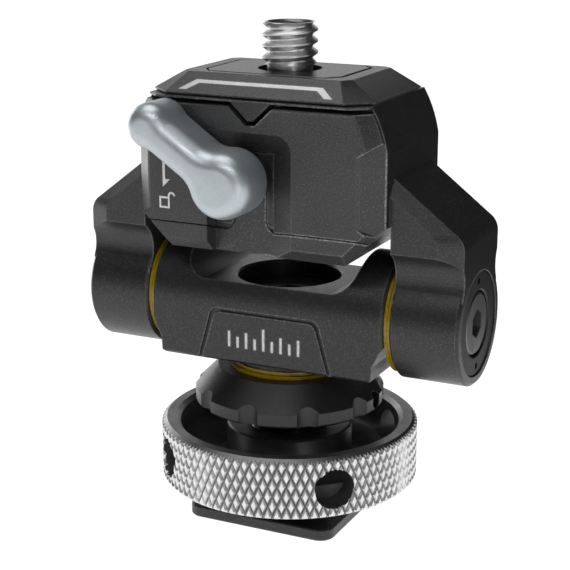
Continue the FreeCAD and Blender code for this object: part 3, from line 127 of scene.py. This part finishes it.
class Finish:
    """A node material in the making, with its grain measured in millimetres on the object itself."""

    def __init__(self, name, colour, metallic, roughness, **more):
        self.material = bpy.data.materials.new(name)
        self.material.use_nodes = True
        self.tree = self.material.node_tree
        self.shader = self.tree.nodes["Principled BSDF"]
        self.set("Base Color", (*colour, 1.0))
        self.set("Metallic", metallic)
        self.set("Roughness", roughness)
        for socket, value in more.items():
            self.set(socket.replace("_", " "), value)
        self.place = self.node("ShaderNodeTexCoord").outputs["Object"]

    def set(self, socket, value):
        names = {entry.name.lower(): entry for entry in self.shader.inputs}
        names[socket.lower()].default_value = value

    def node(self, kind, **inputs):
        made = self.tree.nodes.new(kind)
        for name, value in inputs.items():
            self.join(made.inputs[name], value)
        return made

    def join(self, socket, value):
        if isinstance(value, bpy.types.NodeSocket):
            self.tree.links.new(value, socket)
        else:
            socket.default_value = value

    def noise(self, size, detail=2.0, stretch=(1, 1, 1), rough=0.5):
        """Cloudy noise whose spots are about the given size, or longer where stretch is under 1."""
        spread = self.node("ShaderNodeMapping", Vector=self.place)
        spread.inputs["Scale"].default_value = stretch
        made = self.node("ShaderNodeTexNoise", Vector=spread.outputs[0], Scale=1 / (size * MM))
        made.inputs["Detail"].default_value = detail
        made.inputs["Roughness"].default_value = rough
        return made.outputs["Fac"]

    def spread(self, value, low, high, to_low=0.0, to_high=1.0):
        """A value stretched from one range to another and held inside it."""
        made = self.node("ShaderNodeMapRange", Value=value)
        made.inputs["From Min"].default_value = low
        made.inputs["From Max"].default_value = high
        made.inputs["To Min"].default_value = to_low
        made.inputs["To Max"].default_value = to_high
        return made.outputs["Result"]

    def math(self, operation, a, b):
        made = self.tree.nodes.new("ShaderNodeMath")
        made.operation = operation
        self.join(made.inputs[0], a)
        self.join(made.inputs[1], b)
        return made.outputs[0]

    def mix(self, factor, a, b):
        """Colour a where the factor is 0 and colour b where it is 1."""
        made = self.tree.nodes.new("ShaderNodeMix")
        made.data_type = "RGBA"
        self.join(made.inputs["Factor"], factor)
        sockets = [entry for entry in made.inputs if entry.type == "RGBA"]
        for socket, value in zip(sockets, (a, b)):
            self.join(socket, value if isinstance(value, bpy.types.NodeSocket) else (*value, 1.0))
        return [entry for entry in made.outputs if entry.type == "RGBA"][0]

    def edges(self, width):
        """1 on the outward edges and 0 away from them."""
        inside = self.node("ShaderNodeAmbientOcclusion", Distance=width * MM)
        inside.inside = True
        inside.only_local = True
        inside.samples = AO_SAMPLES
        return self.spread(inside.outputs["AO"], *EDGE_AO)

    def hollows(self, width):
        """1 deep in narrow grooves and 0 on open faces."""
        outside = self.node("ShaderNodeAmbientOcclusion", Distance=width * MM)
        outside.only_local = True
        outside.samples = AO_SAMPLES
        return self.spread(outside.outputs["AO"], *GROOVE_AO)

    def bump(self, height, depth, edge=0.0):
        """Relief of the given depth in millimetres, over edges softened by the edge radius."""
        made = self.node("ShaderNodeBump", Height=height, Distance=depth * MM)
        if edge:
            soft = self.node("ShaderNodeBevel", Radius=edge * MM)
            soft.samples = BEVEL_SAMPLES
            self.join(made.inputs["Normal"], soft.outputs[0])
        self.join(self.shader.inputs["Normal"], made.outputs[0])

    def paint(self, colour):
        self.join(self.shader.inputs["Base Color"], colour)

    def gloss(self, roughness):
        self.join(self.shader.inputs["Roughness"], roughness)


def grey(value):
    return (value, value, value)


def blasted_aluminium(name, base=0.010, speck=0.06, rough=0.37, edge_highlight_grey=0.15, edge=0.15, edge_highlight_from_x=None):
    """Black anodised aluminium, bead blasted: fine bright specks, and lighter edges that are a painted
    highlight where light catches them.

    The painted edge highlight is only laid on to the right of the given x, where one is given.
    """
    f = Finish(name, grey(base), 0.0, rough, specular_ior_level=0.55)
    grain = f.noise(0.17, detail=3.0, rough=0.7)
    cloud = f.noise(5.0, detail=2.0)
    specks = f.spread(grain, 0.52, 0.70)
    tone = f.mix(f.spread(cloud, 0.3, 0.7), grey(base * 0.85), grey(base * 1.15))
    tone = f.mix(specks, tone, grey(speck))
    shine = f.spread(grain, 0.3, 0.75, rough + 0.07, rough - 0.13)
    ragged = f.spread(f.noise(0.22, detail=2.0, rough=0.7), 0.40, 0.60, 0.1, 1.0)
    # Painted highlight: the outward edges are lightened in colour, with a ragged border, as if light caught
    # them.
    painted_edge_mask = f.math("MULTIPLY", f.edges(EDGE_HIGHLIGHT_WIDTH), ragged)
    if edge_highlight_from_x is not None:
        across = f.node("ShaderNodeSeparateXYZ", Vector=f.place).outputs["X"]
        begins, full = (edge_highlight_from_x - EDGE_HIGHLIGHT_FADE) * MM, (edge_highlight_from_x + EDGE_HIGHLIGHT_FADE) * MM
        painted_edge_mask = f.math("MULTIPLY", painted_edge_mask, f.spread(across, begins, full))
    f.paint(f.mix(painted_edge_mask, tone, grey(edge_highlight_grey)))
    f.gloss(shine)
    f.bump(grain, 0.026, edge)
    return f.material


def smooth_black(name, base=0.012, rough=0.28):
    """Turned black steel: smooth and fairly glossy, with very faint turning marks."""
    f = Finish(name, grey(base), 0.0, rough, specular_ior_level=0.6)
    rings = f.noise(0.5, detail=2.0, stretch=(0.3, 0.3, 6.0))
    f.paint(f.mix(f.spread(rings, 0.3, 0.7), grey(base * 0.8), grey(base * 1.5)))
    f.gloss(f.spread(f.noise(1.2), 0.3, 0.7, rough - 0.05, rough + 0.08))
    f.bump(rings, 0.002)
    return f.material


def bright_metal(name, base, rough, grain_size=0.25, stretch=(1, 1, 1), depth=0.004, tint=(1, 1, 1),
                 groove_shade=0.0):
    """Bare or satin-plated metal with fine grain and cloudy gloss, and painted shade in grooves of that
    width.
    """
    colour = tuple(base * part for part in tint)
    f = Finish(name, colour, 1.0, rough)
    grain = f.noise(grain_size, detail=3.0, stretch=stretch, rough=0.6)
    dark = tuple(0.82 * part for part in colour)
    tone = f.mix(f.spread(grain, 0.3, 0.7), dark, colour)
    if groove_shade:
        # Painted shade: the colour darkens where occlusion finds narrow grooves.
        tone = f.mix(f.hollows(groove_shade), tone, tuple(GROOVE_SHADE_SHARE * part for part in colour))
    f.paint(tone)
    f.gloss(f.spread(f.noise(2.0), 0.3, 0.7, rough - 0.05, rough + 0.06))
    f.bump(grain, depth)
    return f.material


def cast_silver(name):
    """The lever's satin silver plating over a fine casting grain."""
    colour = (0.53, 0.575, 0.605)
    f = Finish(name, colour, 0.8, 0.42)
    grain = f.noise(0.22, detail=3.0, rough=0.6)
    f.paint(f.mix(f.spread(grain, 0.3, 0.7), (0.47, 0.515, 0.54), colour))
    f.gloss(f.spread(f.noise(1.5), 0.3, 0.7, 0.39, 0.46))
    f.bump(grain, 0.010)
    return f.material


def polymer(name, colour, rough, grain_size=0.4, depth=0.004):
    """Moulded plastic or rubber with a faint grain."""
    f = Finish(name, colour, 0.0, rough)
    grain = f.noise(grain_size, detail=3.0)
    dark = tuple(0.7 * part for part in colour)
    f.paint(f.mix(f.spread(grain, 0.3, 0.7), dark, colour))
    f.gloss(f.spread(grain, 0.3, 0.7, rough - 0.04, rough + 0.06))
    f.bump(grain, depth)
    return f.material


BLASTED = blasted_aluminium("blasted_aluminium")
# The covers get a lighter copy of the black anodised finish. This is painted light standing in for the
# brighter light on their front faces, and it adds a strong painted edge highlight only to the right of x
# 0.3 mm.
LIT_COVER = blasted_aluminium("cover_aluminium_lit", base=0.025, speck=0.10, rough=0.40, edge_highlight_grey=0.32,
                          edge_highlight_from_x=0.3)
COLLAR = blasted_aluminium("collar_aluminium", base=0.007, speck=0.03, rough=0.34, edge_highlight_grey=0.04)
FOOT = blasted_aluminium("foot_steel", base=0.018, speck=0.06, rough=0.42)
DRESS = polymer("dress_ring_black", grey(0.007), 0.5, depth=0.002)
GLOSS = smooth_black("gloss_black_steel")
CUP = smooth_black("wheel_cup", base=0.042, rough=0.40)
# The knurl's grooves get painted shade.
KNURL = bright_metal("knurl_nickel", 0.84, 0.37, depth=0.0012, groove_shade=0.36)
TOP_RING = bright_metal("wheel_ring", 0.26, 0.42, stretch=(1, 1, 4), depth=0.002)
STAINLESS = bright_metal("stainless_thread", 0.66, 0.36, stretch=(1, 1, 5), depth=0.002)
GREY_STEEL = bright_metal("grey_bolt_steel", 0.20, 0.45, grain_size=0.2, depth=0.004)
DARK_STEEL = bright_metal("dark_socket_steel", 0.07, 0.4)
SPRING = bright_metal("spring_steel", 0.45, 0.3, stretch=(1, 1, 3))
BRONZE = bright_metal("bush_bronze", 0.5, 0.35, tint=(1.0, 0.62, 0.30))
INLAY = bright_metal("silver_inlay", 0.46, 0.40, grain_size=0.12, depth=0.002)
SILVER = cast_silver("cast_silver")
WASHER = polymer("yellow_washer", (0.34, 0.22, 0.006), 0.16, depth=0.002)
PAD = polymer("grip_pad", (0.012, 0.012, 0.013), 0.33, grain_size=0.3, depth=0.006)
PAINT = polymer("white_paint", (0.86, 0.86, 0.86), 0.5, grain_size=0.2, depth=0.003)

SLOT_FINISH = {
    "black_anodised": BLASTED, "gloss_black": GLOSS, "satin_silver": SILVER, "knurled_rim": KNURL,
    "bright_inlay": INLAY, "stainless": STAINLESS, "dark_steel": DARK_STEEL, "grey_steel": GREY_STEEL,
    "spring_steel": SPRING, "bronze": BRONZE, "yellow_washer": WASHER, "grip_pad": PAD,
    "white_mark": PAINT,
}
NODE_FINISH = {
    "front_cover": LIT_COVER, "base_cover": LIT_COVER, "notched_collar": COLLAR, "shoe_foot": FOOT,
    "tilt_ring_left": DRESS, "tilt_ring_right": DRESS,
}


def dress_nodes():
    """Gives every CAD node the finish of its slot, or its own where it has one."""
    for part in frame["record"]["subparts"]:
        node = part["node"]
        finish = NODE_FINISH.get(node, SLOT_FINISH[part["material_slot"]])
        materials = NODES[node].data.materials
        for place in range(len(materials)):
            materials[place] = finish
        crisp = NODES[node].modifiers.new("crisp", "EDGE_SPLIT")
        crisp.split_angle = math.radians(CRISP_ANGLE)
        even = NODES[node].modifiers.new("even", "WEIGHTED_NORMAL")
        even.weight = 100


# Mesh helpers -----------------------------------------------------------------------------------------

def metres(*point):
    return Vector(point) * MM


def polar(radius, angle, z):
    return metres(radius * math.cos(angle), radius * math.sin(angle), z)


def new_piece(name, form, materials, sharp=30):
    """An object of its own from a bmesh, smooth except over edges sharper than the angle."""
    mesh = bpy.data.meshes.new(name)
    bmesh.ops.recalc_face_normals(form, faces=form.faces)
    form.to_mesh(mesh)
    form.free()
    for material in materials:
        mesh.materials.append(material)
    for face in mesh.polygons:
        face.use_smooth = True
    mesh.set_sharp_from_angle(angle=math.radians(sharp))
    piece = bpy.data.objects.new(name, mesh)
    bpy.context.scene.collection.objects.link(piece)
    return piece


def join_rings(form, rings, loop=False):
    """Faces between each ring of vertices and the next, and from the last to the first for a loop."""
    pairs = list(zip(rings, rings[1:]))
    if loop:
        pairs.append((rings[-1], rings[0]))
    for low, high in pairs:
        for i in range(len(low)):
            j = (i + 1) % len(low)
            form.faces.new((low[i], low[j], high[j], high[i]))


def turned_rings(form, profile, steps):
    """A ring of vertices about Z for each (radius, z) point of a profile."""
    return [[form.verts.new(polar(r, math.tau * i / steps, z)) for i in range(steps)] for r, z in profile]


def cap_ends(form, rings):
    """A flat face on the first ring and one on the last."""
    form.faces.new(rings[0])
    form.faces.new(rings[-1])


def node_heights(node):
    """The lowest and the highest point of a CAD node."""
    low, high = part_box(node)
    return low.z / MM, high.z / MM


def arc(cx, cy, radius, a0, a1, steps):
    """Points on an arc between two angles in degrees."""
    angles = [math.radians(a0 + (a1 - a0) * i / steps) for i in range(steps + 1)]
    return [(cx + radius * math.cos(a), cy + radius * math.sin(a)) for a in angles]


def combined(base, tools):
    """The base object after an exact boolean with each tool, as a new mesh. The tools are removed."""
    for tool, operation in tools:
        cut = base.modifiers.new("cut", "BOOLEAN")
        cut.object = tool
        cut.operation = operation
        cut.solver = "EXACT"
    evaluated = base.evaluated_get(bpy.context.evaluated_depsgraph_get())
    form = bmesh.new()
    form.from_mesh(evaluated.to_mesh())
    evaluated.to_mesh_clear()
    for piece in [base] + [tool for tool, operation in tools]:
        bpy.data.objects.remove(piece)
    return form


def threaded(radius, depth, pitch, z0, z1, chamfer, flats=None):
    """A right-hand V thread between two heights with flat ends, as columns that climb one pitch a turn.

    Flats, given as (distance from the axis, top), are cut on both sides across Y up to that height.
    """
    profile = ((0.0, 0.0), (0.06, 0.0), (0.44, 1.0), (0.56, 1.0), (0.94, 0.0))    # share of pitch and depth
    form = bmesh.new()
    turns = int((z1 - z0) / pitch) + 2
    columns = []
    for i in range(ROUND_STEPS):
        angle = math.tau * i / ROUND_STEPS
        column = []
        for turn in range(-1, turns):
            for part, cut in profile:
                z = z0 + (turn + part + i / ROUND_STEPS) * pitch
                z = min(max(z, z0), z1)
                r = min(radius - depth * cut, radius - chamfer + min(z - z0, z1 - z))
                spot = polar(r, angle, z)
                if flats and z < flats[1]:
                    spot.y = min(max(spot.y, -flats[0] * MM), flats[0] * MM)
                column.append(form.verts.new(spot))
        columns.append(column)
    shift = len(profile)
    columns.append(columns[0][shift:] + [None] * shift)
    for here, after in zip(columns, columns[1:]):
        for k in range(len(here) - 1):
            corners = (here[k], after[k], after[k + 1], here[k + 1])
            if None not in corners:
                form.faces.new(corners)
    bmesh.ops.remove_doubles(form, verts=form.verts, dist=WELD * MM)
    bmesh.ops.dissolve_degenerate(form, edges=form.edges, dist=MELT * MM)
    rims = [edge for edge in form.edges if edge.is_boundary]
    bmesh.ops.holes_fill(form, edges=rims, sides=0)
    return form


# Thumbwheel -------------------------------------------------------------------------------------------

def wheel_blank():
    """The wheel before it is knurled and drilled."""
    outer_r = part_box("thumbwheel")[1].x / MM
    z0, z1 = node_heights("thumbwheel")
    fillet = arc(CUP_R - CUP_FILLET, CUP_FLOOR_Z + CUP_FILLET, CUP_FILLET, 0, -90, FILLET_STEPS)
    profile = [
        (SEAT_R, z0), (outer_r - WHEEL_FOOT_CHAMFER, z0), (outer_r, KNURL_Z0), (outer_r, KNURL_Z1),
        (WHEEL_CHAMFER_R, z1), (CUP_R + CUP_LEAD_IN, z1), (CUP_R, z1 - CUP_LEAD_IN), *fillet,
        (HUB_R + HUB_FOOT, CUP_FLOOR_Z), (HUB_R, CUP_FLOOR_Z + HUB_FOOT),
        (HUB_R, HUB_Z1 - HUB_CHAMFER), (HUB_R - HUB_CHAMFER, HUB_Z1),
        (HUB_BORE_R + BORE_CHAMFER, HUB_Z1), (HUB_BORE_R, HUB_Z1 - BORE_CHAMFER),
        (HUB_BORE_R, SEAT_Z), (SEAT_R, SEAT_Z),
    ]
    form = bmesh.new()
    join_rings(form, turned_rings(form, profile, 2 * KNURLS_AROUND), loop=True)
    return new_piece("blank", form, [])


def knurled_bar():
    """A round bar, a little longer than the wheel is high, with flat-topped diamonds all round."""
    crest_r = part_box("thumbwheel")[1].x / MM
    root_r = crest_r - KNURL_DEPTH
    half = KNURL_PITCH / 2
    low = KNURL_Z0 - KNURL_PITCH
    rows = int((KNURL_Z1 - low) / half) + 4
    step = math.tau / KNURLS_AROUND
    form = bmesh.new()

    def corner(row, i):
        return polar(root_r, (i + 0.5 * (row % 2)) * step, low + row * half)

    grid = [[form.verts.new(corner(row, i)) for i in range(KNURLS_AROUND)] for row in range(rows)]
    for row in range(1, rows - 1):
        odd = row % 2
        for i in range(KNURLS_AROUND):
            left, right = grid[row][i], grid[row][(i + 1) % KNURLS_AROUND]
            middle = (i + odd) % KNURLS_AROUND
            under, over = grid[row - 1][middle], grid[row + 1][middle]
            angle = (i + 0.5 * odd + 0.5) * step
            z = low + row * half
            reach, rise = 0.5 * step * KNURL_FLAT, half * KNURL_FLAT
            spots = ((angle - reach, z), (angle, z - rise), (angle + reach, z), (angle, z + rise))
            top = [form.verts.new(polar(crest_r, a, height)) for a, height in spots]
            base = [left, under, right, over]
            form.faces.new(top)
            for k in range(4):
                m = (k + 1) % 4
                form.faces.new((base[k], base[m], top[m], top[k]))
    for row, end in ((0, 1), (rows - 1, rows - 2)):
        z = low + (row - 0.5 if row == 0 else row + 0.5) * half
        rim = [form.verts.new(polar(root_r, i * 0.5 * step, z)) for i in range(2 * KNURLS_AROUND)]
        edge = []
        odd_row = grid[row] if row % 2 else grid[end]
        even_row = grid[end] if row % 2 else grid[row]
        for i in range(KNURLS_AROUND):
            edge += [even_row[i], odd_row[i]]
        join_rings(form, [edge, rim] if row else [rim, edge])
        form.faces.new(rim)
    return new_piece("knurled_bar", form, [])


def tommy_hole(angle):
    """A bar that drills one radial hole, with a shallow cone at its floor."""
    form = bmesh.new()
    rings = []
    outline = ((TINY_R, TOMMY_FLOOR_R), (TOMMY_R, TOMMY_FLOOR_R + TOMMY_CONE), (TOMMY_R, TOMMY_REACH))
    for radius, reach in outline:
        ring = []
        for i in range(TOMMY_SIDES):
            a = math.tau * i / TOMMY_SIDES
            spot = metres(reach, radius * math.cos(a), TOMMY_Z + radius * math.sin(a))
            ring.append(form.verts.new(spot))
        rings.append(ring)
    join_rings(form, rings)
    cap_ends(form, rings)
    form.transform(Matrix.Rotation(math.radians(angle), 4, "Z"))
    return new_piece("tommy_hole", form, [])


def make_wheel():
    tools = [(knurled_bar(), "INTERSECT")]
    tools += [(tommy_hole(angle), "DIFFERENCE") for angle in TOMMY_ANGLES]
    form = combined(wheel_blank(), tools)
    wheel = new_piece("knurled_thumbwheel", form, [CUP, KNURL, TOP_RING], sharp=24)
    knurl_inner_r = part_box("thumbwheel")[1].x / MM - KNURL_DEPTH - SLACK
    # Each face takes its finish by the way it points: faces looking up near the rim get the top ring grey,
    # outward knurl faces get the bright nickel, and all others, inside the cup and underneath, get the dark
    # cup finish.
    upward, outward = FACING
    for face in wheel.data.polygons:
        corners = [wheel.data.vertices[i].co / MM for i in face.vertices]
        radius = min(math.hypot(corner.x, corner.y) for corner in corners)
        away = (face.normal.x * corners[0].x + face.normal.y * corners[0].y) / radius
        if face.normal.z > upward and radius > CUP_R - SLACK:
            face.material_index = 2
        elif radius > knurl_inner_r and away > outward:
            face.material_index = 1
    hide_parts("thumbwheel")
    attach(wheel, "wheel")


# Camera screw and stem --------------------------------------------------------------------------------

def make_camera_screw():
    """The captive screw: a round head under the plate and a real quarter-inch thread."""
    z0, z1 = node_heights("camera_screw")
    form = threaded(SCREW_R, SCREW_THREAD, SCREW_PITCH, SCREW_THREAD_Z0, z1, SCREW_CHAMFER)
    thread = new_piece("camera_screw_thread", form, [STAINLESS], sharp=40)
    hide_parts("camera_screw")
    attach(thread, "screw")

    shoulder = z0 + SCREW_HEAD_THICK
    lip = SCREW_HEAD_LIP
    neck_z1 = SCREW_THREAD_Z0 + 0.8     # the neck ends inside the thread
    outline = [
        (SCREW_HEAD_R - lip, z0), (SCREW_HEAD_R, z0 + lip), (SCREW_HEAD_R, shoulder - lip),
        (SCREW_HEAD_R - lip, shoulder), (SCREW_JOURNAL_R, shoulder), (SCREW_JOURNAL_R, SCREW_JOURNAL_Z1),
        (SCREW_NECK_R, SCREW_JOURNAL_Z1), (SCREW_NECK_R, neck_z1), (TINY_R, neck_z1),
    ]
    form = bmesh.new()
    rings = turned_rings(form, outline, ROUND_STEPS)
    sixth = math.pi / 3
    angles = [math.tau * i / ROUND_STEPS for i in range(ROUND_STEPS)]
    socket = [SCREW_SOCKET_R * math.cos(sixth / 2) / math.cos(a % sixth - sixth / 2) for a in angles]
    for z in (z0, z0 + SCREW_SOCKET_DEPTH):
        rings.insert(0, [form.verts.new(polar(r, a, z)) for r, a in zip(socket, angles)])
    join_rings(form, rings)
    cap_ends(form, rings)
    head = new_piece("camera_screw_head", form, [STAINLESS, GLOSS])
    # The head and the journal get the black steel. On the journal, seen down the pad's hole, this black is
    # painted shade.
    for face in head.data.polygons:
        if face.center.z / MM < SCREW_JOURNAL_Z1 + 0.01:
            face.material_index = 1
    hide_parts("camera_screw")
    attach(head, "screw")


def make_stem():
    """The stem: a one-millimetre thread with two flats low down, and the plain swivel pivot above it."""
    z0, z1 = node_heights("threaded_stem")
    thread = threaded(STEM_R, STEM_THREAD, STEM_PITCH, z0, STEM_THREAD_Z1, STEM_CHAMFER, STEM_FLATS)
    sunk = 0.2                          # the plain part begins inside the thread
    outline = [
        (STEM_R, STEM_THREAD_Z1 - sunk), (STEM_R, STEM_Z1), (PIVOT_R, STEM_Z1),
        (PIVOT_R, z1 - PIVOT_CHAMFER), (PIVOT_R - PIVOT_CHAMFER, z1),
    ]
    pivot = bmesh.new()
    rings = turned_rings(pivot, outline, ROUND_STEPS)
    join_rings(pivot, rings)
    cap_ends(pivot, rings)
    for name, form in (("stem_thread", thread), ("stem_pivot", pivot)):
        piece = new_piece(name, form, [GLOSS], sharp=40)
        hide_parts("threaded_stem")
        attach(piece, "base")


def make_lever():
    """The dog-bone lever: two discs joined by a bar, blended in plan and rounded over at the front."""
    def outline(inset):
        f = LEVER_FILLET
        half = LEVER_BAR_HALF
        big_u = math.sqrt((LEVER_BIG_R + f) ** 2 - (half + f) ** 2)
        small_u = math.sqrt((LEVER_SMALL_R + f) ** 2 - (half + f) ** 2)
        big_a = math.degrees(math.atan2(half + f, big_u))
        small_a = math.degrees(math.atan2(half + f, small_u))
        big = arc(0, 0, LEVER_BIG_R - inset, big_a, 360 - big_a, LEVER_BIG_STEPS)
        neck_r = f + inset
        lower = arc(big_u, -half - f, neck_r, 180 - big_a, 90, FILLET_STEPS)
        lower += arc(LEVER_LENGTH - small_u, -half - f, neck_r, 90, small_a, FILLET_STEPS)
        small = arc(LEVER_LENGTH, 0, LEVER_SMALL_R - inset, small_a - 180, 180 - small_a, LEVER_SMALL_STEPS)
        upper = [(u, -v) for u, v in reversed(lower)]
        return big[:-1] + lower[:-1] + small[:-1] + upper[:-1]

    along = math.radians(LEVER_ANGLE)
    form = bmesh.new()

    def ring(inset, y):
        spots = []
        for u, v in outline(inset):
            x = LEVER_X + u * math.cos(along) - v * math.sin(along)
            z = LEVER_Z + u * math.sin(along) + v * math.cos(along)
            spots.append(form.verts.new(metres(x, y, z)))
        return spots

    edge = LEVER_BACK_BREAK
    rings = [ring(edge, LEVER_BACK), ring(edge * 0.3, LEVER_BACK - edge * 0.3), ring(0, LEVER_BACK - edge)]
    inwards, back = LEVER_ROUND
    for i in range(LEVER_ROUND_STEPS + 1):
        a = math.radians(90 * i / LEVER_ROUND_STEPS)
        rings.append(ring(inwards * (1 - math.cos(a)), LEVER_FRONT + back * (1 - math.sin(a))))
    join_rings(form, rings)
    cap_ends(form, rings)
    lever = new_piece("dog_bone_lever", form, [SILVER], sharp=50)
    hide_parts("lever")
    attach(lever, "release_lever")


# Stage ------------------------------------------------------------------------------------------------

def make_floor():
    """A plain floor that is bright enough to run into the white background."""
    form = bmesh.new()
    corners = ((-1, -1), (1, -1), (1, 1), (-1, 1))
    spots = [metres(x * FLOOR_REACH, y * FLOOR_REACH, FLOOR_Z) for x, y in corners]
    form.faces.new([form.verts.new(spot) for spot in spots])
    f = Finish("pale_floor", grey(0.2), 0.0, 0.8, specular_ior_level=0.1, emission_strength=1.02)
    f.set("Emission Color", WHITE)
    floor = new_piece("studio_floor", form, [f.material])


def soft_box(name, azimuth, elevation, distance, width, height, glow):
    """A soft box that faces the object, with its direction given as for the camera and hidden from view."""
    data = bpy.data.lights.new(name, "AREA")
    data.shape = "RECTANGLE"
    data.size = width * MM
    data.size_y = height * MM
    data.energy = glow * math.pi * data.size * data.size_y
    light = bpy.data.objects.new(name, data)
    light.location = around(azimuth, elevation, distance)
    light.rotation_euler = (metres(*TARGET) - light.location).to_track_quat("-Z", "Y").to_euler()
    light.visible_camera = False
    bpy.context.scene.collection.objects.link(light)


def black_card():
    """A dark card, hidden from view, behind on the right. It keeps the right-hand faces dark."""
    form = bmesh.new()
    width, height = CARD_SIZE
    middle = around(CARD_AZIMUTH, 0, CARD_DISTANCE)
    half = polar(width / 2, math.radians(CARD_AZIMUTH), 0)
    foot = Vector((middle.x, middle.y, CARD_Z0 * MM))
    top = metres(0, 0, height)
    spots = (foot - half, foot + half, foot + half + top, foot - half + top)
    form.faces.new([form.verts.new(spot) for spot in spots])
    f = Finish("black_card", grey(0.01), 0.0, 0.9, specular_ior_level=0.1)
    card = new_piece("black_card", form, [f.material])
    card.visible_camera = False
    card.visible_shadow = False
    card.visible_diffuse = False


def around(azimuth, elevation, distance):
    """A point at a distance from the target: azimuth 0 is on -Y and grows towards +X."""
    a, e = math.radians(azimuth), math.radians(elevation)
    away = Vector((math.sin(a) * math.cos(e), -math.cos(a) * math.cos(e), math.sin(e)))
    return metres(*TARGET) + away * distance * MM


def make_world():
    """A white background for the eye, and for the object a dim room with a bright wall behind it."""
    world = bpy.data.worlds.new("studio")
    world.use_nodes = True
    tree = world.node_tree
    room = tree.nodes["Background"]
    sight = tree.nodes.new("ShaderNodeBackground")
    room.inputs["Color"].default_value = WHITE
    sight.inputs["Color"].default_value = WHITE
    path = tree.nodes.new("ShaderNodeLightPath")
    choose = tree.nodes.new("ShaderNodeMixShader")
    place = tree.nodes.new("ShaderNodeTexCoord")
    parts = tree.nodes.new("ShaderNodeSeparateXYZ")
    tree.links.new(place.outputs["Generated"], parts.inputs[0])

    def ramp(axis, limits, to_low, to_high):
        """A glow that goes from one value to the other between the limits along an axis."""
        made = tree.nodes.new("ShaderNodeMapRange")
        tree.links.new(parts.outputs[axis], made.inputs["Value"])
        made.inputs["From Min"].default_value, made.inputs["From Max"].default_value = limits
        made.inputs["To Min"].default_value = to_low
        made.inputs["To Max"].default_value = to_high
        return made

    wall = ramp("Z", WALL_TOP, WALL_GLOW, 0.0)
    glow = ramp("Y", BACK_WALL, ROOM_GLOW, 0.0)
    tree.links.new(wall.outputs["Result"], glow.inputs["To Max"])
    tree.links.new(glow.outputs["Result"], room.inputs["Strength"])
    tree.links.new(path.outputs["Is Camera Ray"], choose.inputs[0])
    tree.links.new(room.outputs[0], choose.inputs[1])
    tree.links.new(sight.outputs[0], choose.inputs[2])
    tree.links.new(choose.outputs[0], tree.nodes["World Output"].inputs["Surface"])
    bpy.context.scene.world = world


SOFT_BOXES = (      # name, azimuth, elevation, distance, width, height, glow
    ("front_key", 5, 30, LIGHT_DISTANCE, 110, 40, 1.5),
    ("front_strip", 44, 6, LIGHT_DISTANCE, 22, 110, 8.0),
    ("left_low", -112, -6, 150, 90, 26, 1.6),
    ("left_edge", -115, 12, LIGHT_DISTANCE, 120, 150, 2.5),
    ("high_strip", 12, 48, LIGHT_DISTANCE, 260, 24, 12.0),
    ("overhead", -90, 78, LIGHT_DISTANCE, 240, 240, 2.2),
)


def make_camera():
    data = bpy.data.cameras.new("camera")
    data.lens = LENS
    data.sensor_width = SENSOR
    data.clip_start = 0.01
    data.clip_end = 50
    camera = bpy.data.objects.new("camera", data)
    camera.location = around(VIEW_AZIMUTH, VIEW_ELEVATION, VIEW_DISTANCE)
    camera.rotation_euler = (metres(*TARGET) - camera.location).to_track_quat("-Z", "Y").to_euler()
    bpy.context.scene.collection.objects.link(camera)
    bpy.context.scene.camera = camera
    bpy.context.scene.view_settings.view_transform = "Standard"


dress_nodes()
make_wheel()
make_camera_screw()
make_stem()
make_lever()
make_floor()
black_card()
make_world()
for box in SOFT_BOXES:
    soft_box(*box)
make_camera()
